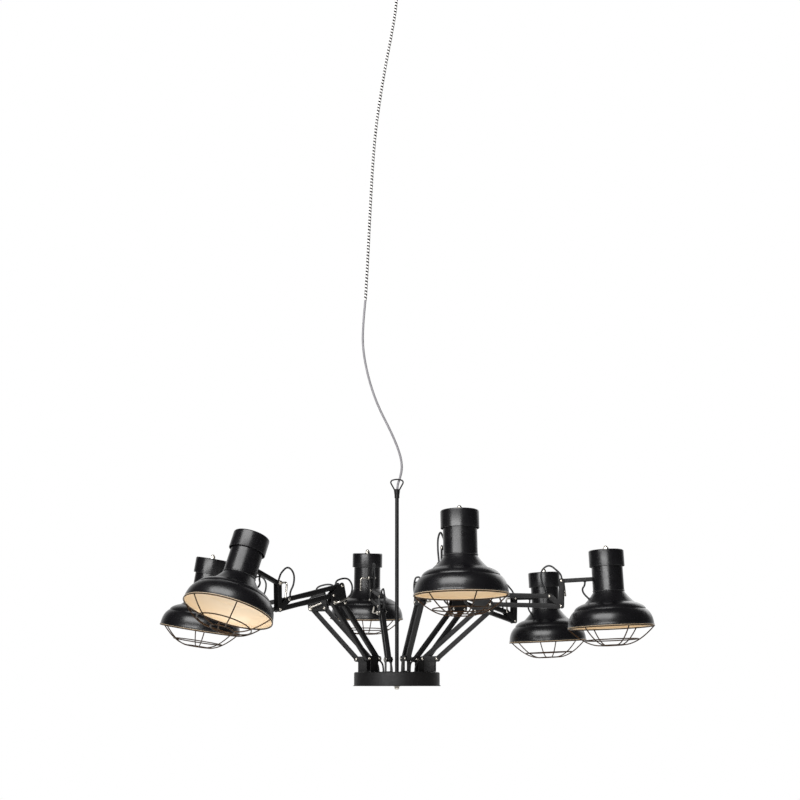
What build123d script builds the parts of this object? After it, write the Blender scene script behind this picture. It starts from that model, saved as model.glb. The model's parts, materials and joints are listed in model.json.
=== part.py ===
from build123d import *
from math import atan2, cos, degrees, pi, radians, sin, tan
from types import SimpleNamespace
import os

# Six-arm spider pendant light. Millimetres, +Z up, origin at the centre of the hanging loop.
# A round hub hangs below the loop on a thin stem. Six double parallelogram arms swivel on the hub,
# and each carries a spun metal lamp head with a wire cage under its shade.

# Hub, measured up from its bottom face
LOOP_ABOVE_HUB_BOTTOM = 417.0
HUB_RADIUS = 87.5
HUB_HEIGHT = 28.0
HUB_WALL = 1.5
HUB_TOP_THICKNESS = 2.0
HUB_EDGE_ROUND = 3.0
BASE_RADIUS = 89.5
BASE_THICKNESS = 1.5
FINIAL_RADIUS = 5.0
FINIAL_HEIGHT = 7.0
FINIAL_ROUND = 4.0
TERMINAL_LENGTH = 42.0
TERMINAL_WIDTH = 16.0
TERMINAL_HEIGHT = 13.0
TERMINAL_OFFSET = 34.0
LEAD_HOLE_RADIUS = 3.5
LEAD_HOLE_RING = 38.0
SEAT_GAP = 0.3
RUN_GAP = 0.06

# Stem, ferrule and hanging loop
STEM_RADIUS = 4.0
STEM_BORE = 2.9
STEM_NUT_RADIUS = 8.0
STEM_NUT_HEIGHT = 5.0
STEM_TOP_BELOW_LOOP = 25.0
FERRULE_RADIUS = 5.2
FERRULE_FLARE_RADIUS = 6.4
FERRULE_TOP_BELOW_LOOP = 12.5
FERRULE_SOCKET_DEPTH = 6.0
LOOP_WIRE = 3.0
LOOP_HALF_WIDTH = 15.3
LOOP_CORNER_RISE = 5.2
LOOP_CROWN_RISE = 9.2
LOOP_FOOT_SPREAD = 4.2
LOOP_CORNER_ROUND = 5.0
LOOP_CROWN_ROUND = 24.0

# Arm joints: bars are square tube, cheeks are sheet, pins are riveted through both cheeks
BAR_SIZE = 9.0
CHEEK_THICKNESS = 1.5
CHEEK_GAP = 10.0
PIN_RADIUS = 1.6
POST_RING = 70.0
POST_PIVOT_HEIGHT = 26.3
POST_WIDTH = 22.0
POST_EAR_RADIUS = 5.5
POST_WEB = 2.0
SWIVEL_RADIUS = 3.0
SWIVEL_NUT_RADIUS = 7.0
SWIVEL_NUT_HEIGHT = 4.0
PIVOT_SPACING = 29.4
LOWER_BAR_LENGTH = 145.3
UPPER_BAR_LENGTH = 143.8
ELBOW_STEP = (2.0, 13.7)
UPPER_PAIR_STEP = (-22.6, 19.9)
ELBOW_EDGE = 6.5
WRIST_RISE = (2.0, 49.9)
WRIST_EDGE = 5.0
LEVER_ROD = 4.4
LEVER_BEND = 5.0
WRIST_LEVER_REACH = 20.0
ELBOW_LEVER_REACH = 12.0
LEVER_HANDLE = 28.0
ELBOW_HANDLE_SLOPE = 160.0
WRIST_HANDLE_SLOPE = -84.0

# Lamp head, along its own axis from the arm's height: up is plus
HEAD_ARM_REACH = 92.2
HEAD_ARM_SIZE = 8.0
HEAD_ARM_SEAT = 0.3
CAP_TOP = 56.0
CAP_RADIUS = 35.0
CAP_HEIGHT = 33.0
CAP_WALL = 1.2
CAP_EDGE_ROUND = 3.0
NECK_RADIUS = 30.8
NECK_FOOT = -27.0
FLARE_RADIUS = 49.5
FLARE_FOOT = -49.0
FLARE_HOLLOW = 4.1
SHOULDER_RADIUS = 70.5
SHOULDER_FOOT = -63.0
SHOULDER_CROWN = 1.6
STEP_HEIGHT = 2.4
STEP_OUT = 1.6
BELL_RADIUS = 83.5
BELL_FOOT = -82.0
BELL_CROWN = 2.8
RIM_RADIUS = 85.5
RIM_FOOT = -96.0
SHADE_WALL = 1.0
HOLDER_RADIUS = 20.0
HOLDER_LENGTH = 62.0
HOLDER_ROOF = 3.0
BULB_RADIUS = 22.5
BULB_LENGTH = 50.0
BULB_CAP_RADIUS = 13.5
BULB_CAP_LENGTH = 24.0
BULB_WALL = 1.0
NIPPLE_RADIUS = 5.0
HEAD_NUT_HEIGHT = 7.0
HEAD_NUT_ROUND = 4.0
CAGE_WIRE = 2.2
CAGE_RIBS = 6
CAGE_MID_RADIUS = 53.0
CAGE_MID_DROP = 27.0
CAGE_END_RADIUS = 23.0
CAGE_END_DROP = 36.0
RIB_KNEE_SHARE = 0.35
RIB_DROP_SHARE = 0.62

# Where the six posts stand, in degrees round the hub from the front, and how each arm is set at rest:
# its own direction, its lower bars' lean from upright, its upper bars' rise, and its head's tilt
POST_ANGLES = [15.0, 75.0, 135.0, 195.0, 255.0, 315.0]
ARM_SETTINGS = [
    (16.0, 42.6, 11.0, 2.3),
    (75.6, 49.3, -2.1, 2.3),
    (125.9, 42.6, -14.2, 3.1),
    (188.6, 44.7, 8.9, 5.3),
    (254.4, 43.5, -10.1, 9.4),
    (316.3, 42.3, -13.1, 20.7),
]

# Leads and supply cord. A lead's route lies in its arm's own plane, as (outward, up) steps from a pivot
LEAD_DIAMETER = 3.6
LEAD_CLEARANCE = 0.4
LEAD_STRAIGHT = 7.0
ELBOW_LEAD_OUT = 11.0
ELBOW_LEAD_ANGLE = 140.0
ELBOW_LEAD_STEPS = [(-8.0, 16.0), (-26.0, 15.0), (-36.0, 0.0), (-30.0, -18.0)]
WRIST_LEAD_IN = 9.0
WRIST_LEAD_STEPS = [(-8.0, 20.0), (-25.0, 34.0), (-42.0, 22.0), (-42.0, 0.0)]
FOOT_LEAD_ANGLE = 205.0
FOOT_LEAD_RISE = 11.0
NECK_LEAD_START = 46.0
NECK_LEAD_BOW = (53.0, -18.0)
NECK_LEAD_STRAIGHT = 13.0
BEND_SHARE = 0.45
CORD_DIAMETER = 4.8
SLEEVE_DIAMETER = 6.0
CORD_ROUTE = [
    (0.0, 0.0, -34.0),
    (0.0, 0.0, -6.0),
    (6.4, 7.0, 12.0),
    (11.2, 6.0, 34.0),
    (7.0, 3.0, 62.0),
    (-10.0, 0.0, 105.0),
    (-41.0, 0.0, 166.0),
    (-61.0, 0.0, 225.0),
    (-73.5, 0.0, 290.0),
    (-73.0, 0.0, 345.0),
    (-68.0, 0.0, 398.0),
]
SLEEVE_ROUTE = [
    (-68.0, 0.0, 398.0),
    (-64.2, 0.0, 468.0),
    (-61.0, 0.0, 545.0),
    (-57.5, 0.0, 625.0),
    (-53.5, 0.0, 705.0),
    (-47.5, 0.0, 785.0),
    (-37.5, 0.0, 862.0),
    (-26.0, 0.0, 937.0),
    (-13.0, 0.0, 1008.0),
    (-3.0, 0.0, 1072.0),
    (0.0, 0.0, 1118.0),
    (0.0, 0.0, 1146.0),
]

# Ceiling fitting
CANOPY_RADIUS = 50.0
CANOPY_HEIGHT = 26.0
CANOPY_WALL = 1.5
CANOPY_EDGE_ROUND = 6.0
CORD_GRIP_RADIUS = 7.0
CORD_GRIP_HEIGHT = 14.0
CORD_ENTRY = 9.0
CEILING_PLATE_THICKNESS = 2.0
CEILING_HOLE_RADIUS = 2.5
CEILING_HOLE_SPACING = 60.0

OVERRUN = 5.0
INNER_ROUND_SHARE = 0.25

# Worked out from the sizes above
HUB_BOTTOM = -LOOP_ABOVE_HUB_BOTTOM
HUB_TOP = HUB_BOTTOM + HUB_HEIGHT
STEM_TOP = -STEM_TOP_BELOW_LOOP
BAR_END = BAR_SIZE / 2
CHEEK_OUTER = CHEEK_GAP / 2 + CHEEK_THICKNESS
HOLDER_FOOT = CAP_TOP - CAP_WALL - HOLDER_LENGTH
BULB_FOOT = HOLDER_FOOT - BULB_LENGTH
RIM_RING_RADIUS = RIM_RADIUS - SHADE_WALL / 2
RIM_RING_HEIGHT = RIM_FOOT - SEAT_GAP - CAGE_WIRE / 2
CEILING = SLEEVE_ROUTE[-1][2] - CORD_ENTRY + CORD_GRIP_HEIGHT + CANOPY_HEIGHT


def save(name, *solids):
    """Writes one named piece, or a group of separate pieces, as its own file."""
    shape = solids[0] if len(solids) == 1 else Compound(children=list(solids))
    export_step(shape, f"parts/{name}.step")


def ring(outer, inner, height, base):
    """A round collar standing on a height, with a bore."""
    outline = Circle(outer) - Circle(inner)
    return extrude(Plane.XY.offset(base) * outline, height)


def disc(radius, height, base):
    return extrude(Plane.XY.offset(base) * Circle(radius), height)


def lid(radius, height, wall, roof, edge_round):
    """A round lid, open below, whose wall follows the rounding of its top edge."""
    body = disc(radius, height, 0)
    body = fillet(body.edges().group_by(Axis.Z)[-1], edge_round)
    hollow = disc(radius - wall, height - roof, 0)
    inner_round = max(edge_round - wall, INNER_ROUND_SHARE * wall)
    return body - fillet(hollow.edges().group_by(Axis.Z)[-1], inner_round)


def spun(*points):
    """A solid of revolution about Z from (radius, height) points."""
    outline = make_face(Plane.XZ * Polyline(*points, close=True))
    return revolve(outline, Axis.Z)


def spun_sheet(line, wall):
    """A sheet spun about Z: its outer line, drawn downwards in (radius, height), given a wall inwards."""
    section = offset(Plane.XZ * line, amount=wall, side=Side.LEFT, closed=True)
    return revolve(make_face(section), Axis.Z)


def from_polar(length, angle):
    """A step in an arm's plane, at an angle above horizontal."""
    return Vector(length * cos(radians(angle)), length * sin(radians(angle)))


def wire_of(points, radii):
    """Straight runs joined by tangent arcs."""
    return FilletPolyline(*points, radius=radii)


def round_tube(path, diameter):
    section = Plane(origin=path @ 0, z_dir=path % 0) * Circle(diameter / 2)
    return sweep(section, path=path)


def square_tube(path, diameter, side_dir):
    """A four-sided tube with the same section area as a round one."""
    side = diameter / 2 * pi**0.5
    section = Plane(origin=path @ 0, x_dir=side_dir, z_dir=path % 0) * Rectangle(side, side)
    return sweep(section, path=path)


def largest_radii(points):
    """Each bend as wide as its two runs allow."""
    radii = []
    for before, at, after in zip(points, points[1:], points[2:]):
        first, second = Vector(at) - Vector(before), Vector(after) - Vector(at)
        shorter = min(first.length, second.length)
        half_turn = radians(first.get_angle(second)) / 2
        radii.append(BEND_SHARE * shorter / tan(half_turn))
    return radii


def hub_housing():
    """Shallow pan over the cover plate, with its stem, swivel and lead holes."""
    pan = lid(HUB_RADIUS, HUB_HEIGHT - BASE_THICKNESS, HUB_WALL, HUB_TOP_THICKNESS, HUB_EDGE_ROUND)
    body = Pos(0, 0, HUB_BOTTOM + BASE_THICKNESS) * pan
    body -= disc(STEM_RADIUS + SEAT_GAP, HUB_HEIGHT + OVERRUN, HUB_BOTTOM)
    for angle in POST_ANGLES:
        body -= post_location(angle) * disc(SWIVEL_RADIUS + RUN_GAP, HUB_HEIGHT, -HUB_HEIGHT / 2)
        body -= lead_hole_location(angle) * disc(LEAD_HOLE_RADIUS, HUB_HEIGHT, -HUB_HEIGHT / 2)
    return body


def hub_base():
    """Cover plate under the hub, its round nut, and the terminal block that stands on it."""
    plate = ring(BASE_RADIUS, STEM_RADIUS + SEAT_GAP, BASE_THICKNESS, HUB_BOTTOM)
    finial = disc(FINIAL_RADIUS, FINIAL_HEIGHT, HUB_BOTTOM - FINIAL_HEIGHT)
    finial = fillet(finial.edges().group_by(Axis.Z)[0], FINIAL_ROUND)
    block = Pos(0, TERMINAL_OFFSET, HUB_BOTTOM + BASE_THICKNESS + TERMINAL_HEIGHT / 2) * Box(
        TERMINAL_LENGTH, TERMINAL_WIDTH, TERMINAL_HEIGHT
    )
    return plate, finial, block


def stem():
    """Tube from the cover plate to the ferrule, with its nut under the hub's top."""
    tube = ring(STEM_RADIUS, STEM_BORE, STEM_TOP - HUB_BOTTOM, HUB_BOTTOM)
    nut_base = HUB_TOP - HUB_TOP_THICKNESS - STEM_NUT_HEIGHT
    return tube + ring(STEM_NUT_RADIUS, STEM_BORE, STEM_NUT_HEIGHT, nut_base)


def ferrule():
    """Flared end of the stem that the loop's two feet run into."""
    top = -FERRULE_TOP_BELOW_LOOP
    shoulder = STEM_TOP
    bottom = STEM_TOP - FERRULE_SOCKET_DEPTH
    socket = STEM_RADIUS + RUN_GAP
    return spun(
        (STEM_BORE, top),
        (FERRULE_FLARE_RADIUS, top),
        (FERRULE_FLARE_RADIUS, top - LOOP_WIRE),
        (FERRULE_RADIUS, shoulder),
        (FERRULE_RADIUS, bottom),
        (socket, bottom),
        (socket, shoulder),
        (STEM_BORE, shoulder),
    )


def loop_wire():
    """Rounded three-cornered wire eye, wide at the top and narrow at the ferrule."""
    foot = -FERRULE_TOP_BELOW_LOOP
    points = [
        (-LOOP_FOOT_SPREAD, 0, foot),
        (-LOOP_HALF_WIDTH, 0, LOOP_CORNER_RISE),
        (0, 0, LOOP_CROWN_RISE),
        (LOOP_HALF_WIDTH, 0, LOOP_CORNER_RISE),
        (LOOP_FOOT_SPREAD, 0, foot),
    ]
    path = wire_of(points, [LOOP_CORNER_ROUND, LOOP_CROWN_ROUND, LOOP_CORNER_ROUND])
    eye = round_tube(path, LOOP_WIRE)
    lowest = foot - LOOP_WIRE
    return eye - disc(LOOP_HALF_WIDTH, LOOP_WIRE, lowest)


def post_location(angle):
    """On the hub's top where a post stands, turned to face outwards."""
    turn = angle - 90
    return Pos(0, 0, HUB_TOP) * Rot(0, 0, turn) * Pos(POST_RING, 0, 0)


def lead_hole_location(angle):
    turn = angle - 90
    return Pos(0, 0, HUB_TOP) * Rot(0, 0, turn) * Pos(LEAD_HOLE_RING, 0, 0)


def arm_location(index):
    """An arm's own frame: on its post's axis at the hub's top, +X outwards along the arm."""
    post = POST_ANGLES[index]
    own = ARM_SETTINGS[index][0]
    return post_location(post) * Rot(0, 0, own - post)


def arm_points(index):
    """Pivots of one arm at rest, as (outward, up) in its own frame."""
    own, lean, rise, tilt = ARM_SETTINGS[index]
    p = SimpleNamespace()
    p.lower_dir = from_polar(1, 90 - lean)
    p.upper_dir = from_polar(1, rise)
    p.post_outer = Vector(PIVOT_SPACING / 2, POST_PIVOT_HEIGHT)
    p.post_inner = Vector(-PIVOT_SPACING / 2, POST_PIVOT_HEIGHT)
    p.elbow_outer = p.post_outer + p.lower_dir * LOWER_BAR_LENGTH
    p.elbow_inner = p.post_inner + p.lower_dir * LOWER_BAR_LENGTH
    p.elbow_low = p.elbow_outer + Vector(*ELBOW_STEP)
    p.elbow_high = p.elbow_low + Vector(*UPPER_PAIR_STEP)
    p.wrist_low = p.elbow_low + p.upper_dir * UPPER_BAR_LENGTH
    p.wrist_high = p.elbow_high + p.upper_dir * UPPER_BAR_LENGTH
    p.head = p.wrist_low + Vector(*WRIST_RISE)
    p.tilt = tilt
    p.head_out = from_polar(1, tilt)
    p.head_up = from_polar(1, tilt + 90)
    p.neck = p.head + p.head_out * HEAD_ARM_REACH
    return p


def upright(outline, thickness):
    """A flat outline in an arm's plane, given thickness to both sides of it."""
    return extrude(Plane.XZ * outline, thickness / 2, both=True)


def pin(point):
    return upright(Pos(point) * Circle(PIN_RADIUS), CHEEK_OUTER * 2)


def cheeks(outline):
    """The same plate on both sides of the bars."""
    near = extrude(Plane.XZ.offset(CHEEK_GAP / 2) * outline, CHEEK_THICKNESS)
    return near + mirror(near, about=Plane.XZ)


def strip(start, end, edge):
    """A round-ended strip between two points."""
    run = end - start
    middle = (start + end) / 2
    angle = degrees(atan2(run.Y, run.X))
    return Pos(middle) * Rot(0, 0, angle) * SlotCenterToCenter(run.length, 2 * edge)


def hull_plate(points, edge):
    """A plate whose edge runs round all its pivots."""
    rounds = [(Pos(point) * Circle(edge)).edge() for point in points]
    return make_hull(rounds)


def bar(start, end):
    """Square bar with a round end and a pin hole at each pivot."""
    outline = strip(start, end, BAR_END)
    for point in (start, end):
        outline -= Pos(point) * Circle(PIN_RADIUS + RUN_GAP)
    return upright(outline, BAR_SIZE)


def post(p):
    """Swivelling fork on the hub: base web, two eared cheeks, two pins, and its stud and nut."""
    width = Rectangle(POST_WIDTH, POST_PIVOT_HEIGHT - SEAT_GAP, align=(Align.CENTER, Align.MIN))
    outline = Pos(0, SEAT_GAP) * width + strip(p.post_inner, p.post_outer, POST_EAR_RADIUS)
    body = cheeks(outline) + pin(p.post_inner) + pin(p.post_outer)
    web_middle = SEAT_GAP + POST_WEB / 2
    body += Pos(0, 0, web_middle) * Box(POST_WIDTH, CHEEK_GAP, POST_WEB)
    nut_top = -HUB_TOP_THICKNESS - SEAT_GAP
    body += disc(SWIVEL_RADIUS, web_middle - nut_top, nut_top)
    return body + disc(SWIVEL_NUT_RADIUS, SWIVEL_NUT_HEIGHT, nut_top - SWIVEL_NUT_HEIGHT)


def elbow_bracket(p):
    points = [p.elbow_inner, p.elbow_outer, p.elbow_low, p.elbow_high]
    body = cheeks(hull_plate(points, ELBOW_EDGE))
    for point in points:
        body += pin(point)
    return body


def wrist_bracket(p):
    """Two bent strips: a slanted foot across the upper bars, and an upright to the head's pivot."""
    outline = strip(p.wrist_high, p.wrist_low, WRIST_EDGE) + strip(p.wrist_low, p.head, WRIST_EDGE)
    body = cheeks(outline)
    for point in (p.wrist_high, p.wrist_low, p.head):
        body += pin(point)
    return body


def clamp_lever(pivot, reach, slope):
    """Bent rod that screws down on a pivot: out to the arm's side, then along as a handle."""
    start = Vector(pivot.X, CHEEK_OUTER, pivot.Y)
    corner = Vector(pivot.X, CHEEK_OUTER + reach, pivot.Y)
    along = from_polar(LEVER_HANDLE, slope)
    end = corner + Vector(along.X, 0, along.Y)
    return round_tube(wire_of([start, corner, end], [LEVER_BEND]), LEVER_ROD)


def shade_line():
    """The shade's outer line: straight neck, hollow flare, crowned shoulder, step, crowned bell and rim."""
    step_top = SHOULDER_FOOT + STEP_HEIGHT / 2
    step_foot = SHOULDER_FOOT - STEP_HEIGHT / 2
    neck = Line((NECK_RADIUS, CAP_TOP - CAP_WALL), (NECK_RADIUS, NECK_FOOT))
    flare = SagittaArc(neck @ 1, (FLARE_RADIUS, FLARE_FOOT), -FLARE_HOLLOW)
    shoulder = SagittaArc(flare @ 1, (SHOULDER_RADIUS, step_top), SHOULDER_CROWN)
    step = Line(shoulder @ 1, (SHOULDER_RADIUS + STEP_OUT, step_foot))
    bell = SagittaArc(step @ 1, (BELL_RADIUS, BELL_FOOT), BELL_CROWN)
    rim = Line(bell @ 1, (RIM_RADIUS, RIM_FOOT))
    return neck + flare + shoulder + step + bell + rim


def shade():
    """One sheet of metal, spun over a former."""
    return spun_sheet(shade_line(), SHADE_WALL)


def cap():
    """Deep cup over the neck, with a vent gap under it."""
    body = lid(CAP_RADIUS, CAP_HEIGHT, CAP_WALL, CAP_WALL, CAP_EDGE_ROUND)
    return Pos(0, 0, CAP_TOP - CAP_HEIGHT) * body


def head_nut():
    """Domed nut on the cap."""
    nut = disc(NIPPLE_RADIUS, HEAD_NUT_HEIGHT, CAP_TOP)
    return fillet(nut.edges().group_by(Axis.Z)[-1], HEAD_NUT_ROUND)


def lamp_holder():
    """Open-mouthed socket that hangs under the cap and takes the bulb's screw cap."""
    socket = disc(BULB_CAP_RADIUS + SEAT_GAP, HOLDER_LENGTH - HOLDER_ROOF, HOLDER_FOOT)
    return disc(HOLDER_RADIUS, HOLDER_LENGTH, HOLDER_FOOT) - socket


def bulb():
    """Round glass bulb under the holder, with its hollow screw cap up inside it."""
    belt = BULB_FOOT + BULB_RADIUS
    neck_foot = belt + (BULB_RADIUS**2 - BULB_CAP_RADIUS**2) ** 0.5
    neck = Line((BULB_CAP_RADIUS, HOLDER_FOOT + BULB_CAP_LENGTH), (BULB_CAP_RADIUS, neck_foot))
    glass = ThreePointArc(neck @ 1, (BULB_RADIUS, belt), (0, BULB_FOOT))
    return spun_sheet(neck + glass, BULB_WALL)


def cage_ring(radius, middle):
    return ring(radius + CAGE_WIRE / 2, radius - CAGE_WIRE / 2, CAGE_WIRE, middle - CAGE_WIRE / 2)


def rib_points():
    """A rib's bends from the rim ring, under the middle ring, to the end ring, as (radius, height)."""
    knee = RIB_KNEE_SHARE * CAGE_MID_RADIUS + (1 - RIB_KNEE_SHARE) * RIM_RADIUS
    return [
        Vector(RIM_RING_RADIUS, RIM_RING_HEIGHT - CAGE_WIRE - RUN_GAP),
        Vector(knee, RIM_FOOT - RIB_DROP_SHARE * CAGE_MID_DROP),
        Vector(CAGE_MID_RADIUS, RIM_FOOT - CAGE_MID_DROP),
        Vector(CAGE_END_RADIUS, RIM_FOOT - CAGE_END_DROP),
    ]


def ring_height(low, high):
    """Where a ring lies on the ribs: its outer corner rests on their run from low up to high."""
    run = high - low
    return low.Y + CAGE_WIRE / 2 * (1 + (run.Y + run.length) / run.X) + RUN_GAP


def cage_rib(angle):
    """One bent wire, welded under all three rings."""
    path = Polyline(*[(point.X, 0, point.Y) for point in rib_points()])
    across = Plane(origin=path @ 0, x_dir=(0, 1, 0), z_dir=path % 0)
    rib = sweep(across * Rectangle(CAGE_WIRE, CAGE_WIRE), path=path, transition=Transition.RIGHT)
    return Rot(0, 0, angle) * rib


def cage():
    """Wire guard under the rim: three rings and six bent ribs, each wire a piece of its own."""
    knee, middle, end = rib_points()[1:]
    rings = [
        cage_ring(RIM_RING_RADIUS, RIM_RING_HEIGHT),
        cage_ring(CAGE_MID_RADIUS, ring_height(middle, knee)),
        cage_ring(CAGE_END_RADIUS, ring_height(end, middle)),
    ]
    return rings + [cage_rib(count * 360 / CAGE_RIBS) for count in range(CAGE_RIBS)]


def head_arm(p):
    """Bar from the head's pivot to the neck, in the arm's frame."""
    seat = p.head + p.head_out * (HEAD_ARM_REACH - NECK_RADIUS - HEAD_ARM_SEAT)
    outline = Pos(p.head) * Circle(BAR_END) + strip_to(p.head, seat, HEAD_ARM_SIZE / 2)
    outline -= Pos(p.head) * Circle(PIN_RADIUS + RUN_GAP)
    return upright(outline, HEAD_ARM_SIZE)


def strip_to(start, end, edge):
    """A strip that starts round a pivot and ends square."""
    run = end - start
    middle = (start + end) / 2
    angle = degrees(atan2(run.Y, run.X))
    return Pos(middle) * Rot(0, 0, angle) * Rectangle(run.length, 2 * edge)


def head_location(p):
    """The head's own frame in the arm's frame: on its axis at the arm's height, Z along it."""
    return Pos(p.neck.X, 0, p.neck.Y) * Rot(0, -p.tilt, 0)


def lamp_head(p):
    """Shade, cap, nut, holder, bulb and cage on one axis, and the arm that carries them."""
    place = head_location(p)
    pieces = [shade(), cap(), head_nut(), lamp_holder(), bulb(), *cage()]
    return [place * piece for piece in pieces] + [head_arm(p)]


def in_plane(origin, steps):
    """Route points in an arm's plane from (outward, up) steps about an origin."""
    return [(origin.X + out, 0, origin.Y + up) for out, up in steps]


def lead_tube(points):
    path = wire_of(points, largest_radii(points))
    return square_tube(path, LEAD_DIAMETER, (0, 1, 0))


def clear_of(pivot, angle):
    """Where a lead meets a bar's round end, just clear of it, and a point straight out from there."""
    near = pivot + from_polar(BAR_END + LEAD_CLEARANCE, angle)
    return near, near + from_polar(LEAD_STRAIGHT, angle)


def above_bar(pivot, along, distance):
    """Where a lead leaves a bar's upper face, just clear of it, and a point straight up from there."""
    up = along.rotate(Axis.Z, 90)
    near = pivot + along * distance + up * (BAR_END + LEAD_CLEARANCE)
    return near, near + up * LEAD_STRAIGHT


def hole_in_arm_frame(index):
    """The hub's lead hole, seen from the arm's frame, which its swivel has turned."""
    turn = radians(ARM_SETTINGS[index][0] - POST_ANGLES[index])
    inward = POST_RING - LEAD_HOLE_RING
    return -inward * cos(turn), inward * sin(turn)


def foot_lead(p, index):
    """From the hub's hole in a bend to the foot of the inner lower bar."""
    end, straight = clear_of(p.post_inner, FOOT_LEAD_ANGLE)
    out, aside = hole_in_arm_frame(index)
    route = [(out, aside, -HUB_TOP_THICKNESS), (out, aside, FOOT_LEAD_RISE)]
    return route + [(straight.X, 0, straight.Y), (end.X, 0, end.Y)]


def elbow_lead(p):
    """From the upper bar's end over the elbow and down to the inner lower bar."""
    start, up = above_bar(p.elbow_high, p.upper_dir, ELBOW_LEAD_OUT)
    end, straight = clear_of(p.elbow_inner, ELBOW_LEAD_ANGLE)
    middle = in_plane(p.elbow_high, ELBOW_LEAD_STEPS)
    return [(start.X, 0, start.Y), (up.X, 0, up.Y), *middle, (straight.X, 0, straight.Y), (end.X, 0, end.Y)]


def wrist_lead(p):
    """From the head's arm up, over and down to the upper bar."""
    start, up = above_bar(p.head, p.head_out, 0)
    end, straight = above_bar(p.wrist_high, p.upper_dir, -WRIST_LEAD_IN)
    middle = in_plane(p.head, WRIST_LEAD_STEPS)
    return [(start.X, 0, start.Y), (up.X, 0, up.Y), *middle, (straight.X, 0, straight.Y), (end.X, 0, end.Y)]


def neck_lead(p):
    """From under the head's arm in a bow down to the shade's flare, which it meets squarely."""
    chord_middle = Vector((NECK_RADIUS + FLARE_RADIUS) / 2, (NECK_FOOT + FLARE_FOOT) / 2)
    outward = Vector(NECK_FOOT - FLARE_FOOT, FLARE_RADIUS - NECK_RADIUS).normalized()
    end = chord_middle + outward * (LEAD_CLEARANCE - FLARE_HOLLOW)
    straight = end + outward * NECK_LEAD_STRAIGHT
    start = Vector(NECK_LEAD_START, -HEAD_ARM_SIZE / 2 - LEAD_CLEARANCE)
    down = start - Vector(0, LEAD_STRAIGHT)
    bow = Vector(*NECK_LEAD_BOW)
    route = [p.neck - p.head_out * v.X + p.head_up * v.Y for v in (start, down, bow, straight, end)]
    return [(v.X, 0, v.Y) for v in route]


def arm_lead(p, index):
    """The four stretches of lead that show between the tubes of one arm."""
    routes = [foot_lead(p, index), elbow_lead(p), wrist_lead(p), neck_lead(p)]
    return [lead_tube(route) for route in routes]


def cord_tube(route, diameter):
    radii = largest_radii(route)
    print("cord radii", [round(radius) for radius in radii])
    path = wire_of(route, radii)
    tube = round_tube(path, diameter)
    print("tube volume share", round(tube.volume / (pi * diameter**2 / 4 * path.length), 4))
    return tube


def ceiling_fitting():
    """Cup against the ceiling, its cord grip, and the plate that screws to the ceiling."""
    base = CEILING - CANOPY_HEIGHT
    upturned = lid(CANOPY_RADIUS, CANOPY_HEIGHT, CANOPY_WALL, CANOPY_WALL, CANOPY_EDGE_ROUND)
    cup = Pos(0, 0, CEILING) * Rot(180, 0, 0) * upturned
    cup -= disc(SLEEVE_DIAMETER / 2, CANOPY_HEIGHT, base - OVERRUN)
    grip = disc(CORD_GRIP_RADIUS, CORD_GRIP_HEIGHT, base - CORD_GRIP_HEIGHT)
    entry = disc(SLEEVE_DIAMETER / 2 + SEAT_GAP, CORD_ENTRY, base - CORD_GRIP_HEIGHT)
    plate = disc(CANOPY_RADIUS - CANOPY_WALL - SEAT_GAP, CEILING_PLATE_THICKNESS,
                 CEILING - CEILING_PLATE_THICKNESS)
    for side in (-1, 1):
        hole = disc(CEILING_HOLE_RADIUS, CANOPY_HEIGHT, base)
        plate -= Pos(side * CEILING_HOLE_SPACING / 2, 0, 0) * hole
    return cup, grip - entry, plate


def save_arm(index):
    number = index + 1
    place = arm_location(index)
    p = arm_points(index)
    save(f"post_{number}", place * post(p))
    save(f"lower_bar_inner_{number}", place * bar(p.post_inner, p.elbow_inner))
    save(f"lower_bar_outer_{number}", place * bar(p.post_outer, p.elbow_outer))
    elbow_lever = clamp_lever(p.elbow_outer, ELBOW_LEVER_REACH, ELBOW_HANDLE_SLOPE)
    save(f"elbow_bracket_{number}", place * elbow_bracket(p), place * elbow_lever)
    save(f"upper_bar_top_{number}", place * bar(p.elbow_high, p.wrist_high))
    save(f"upper_bar_bottom_{number}", place * bar(p.elbow_low, p.wrist_low))
    wrist_lever = clamp_lever(p.head, WRIST_LEVER_REACH, WRIST_HANDLE_SLOPE)
    save(f"wrist_bracket_{number}", place * wrist_bracket(p), place * wrist_lever)
    save(f"lamp_head_{number}", *[place * piece for piece in lamp_head(p)])
    save(f"arm_lead_{number}", *[place * piece for piece in arm_lead(p, index)])


def main():
    os.makedirs("parts", exist_ok=True)
    save("hub_housing", hub_housing())
    save("hub_base", *hub_base())
    save("stem", stem())
    save("hanging_loop", loop_wire(), ferrule())
    save("supply_cord", cord_tube(CORD_ROUTE, CORD_DIAMETER), cord_tube(SLEEVE_ROUTE, SLEEVE_DIAMETER))
    save("ceiling_fitting", *ceiling_fitting())
    for index in range(len(ARM_SETTINGS)):
        save_arm(index)


main()
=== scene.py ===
import bmesh
import bpy
import json
from math import asin, atan2, cos, pi, radians, sin, tan
from mathutils import Matrix, Vector
from mathutils.geometry import convex_hull_2d
from types import SimpleNamespace


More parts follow.
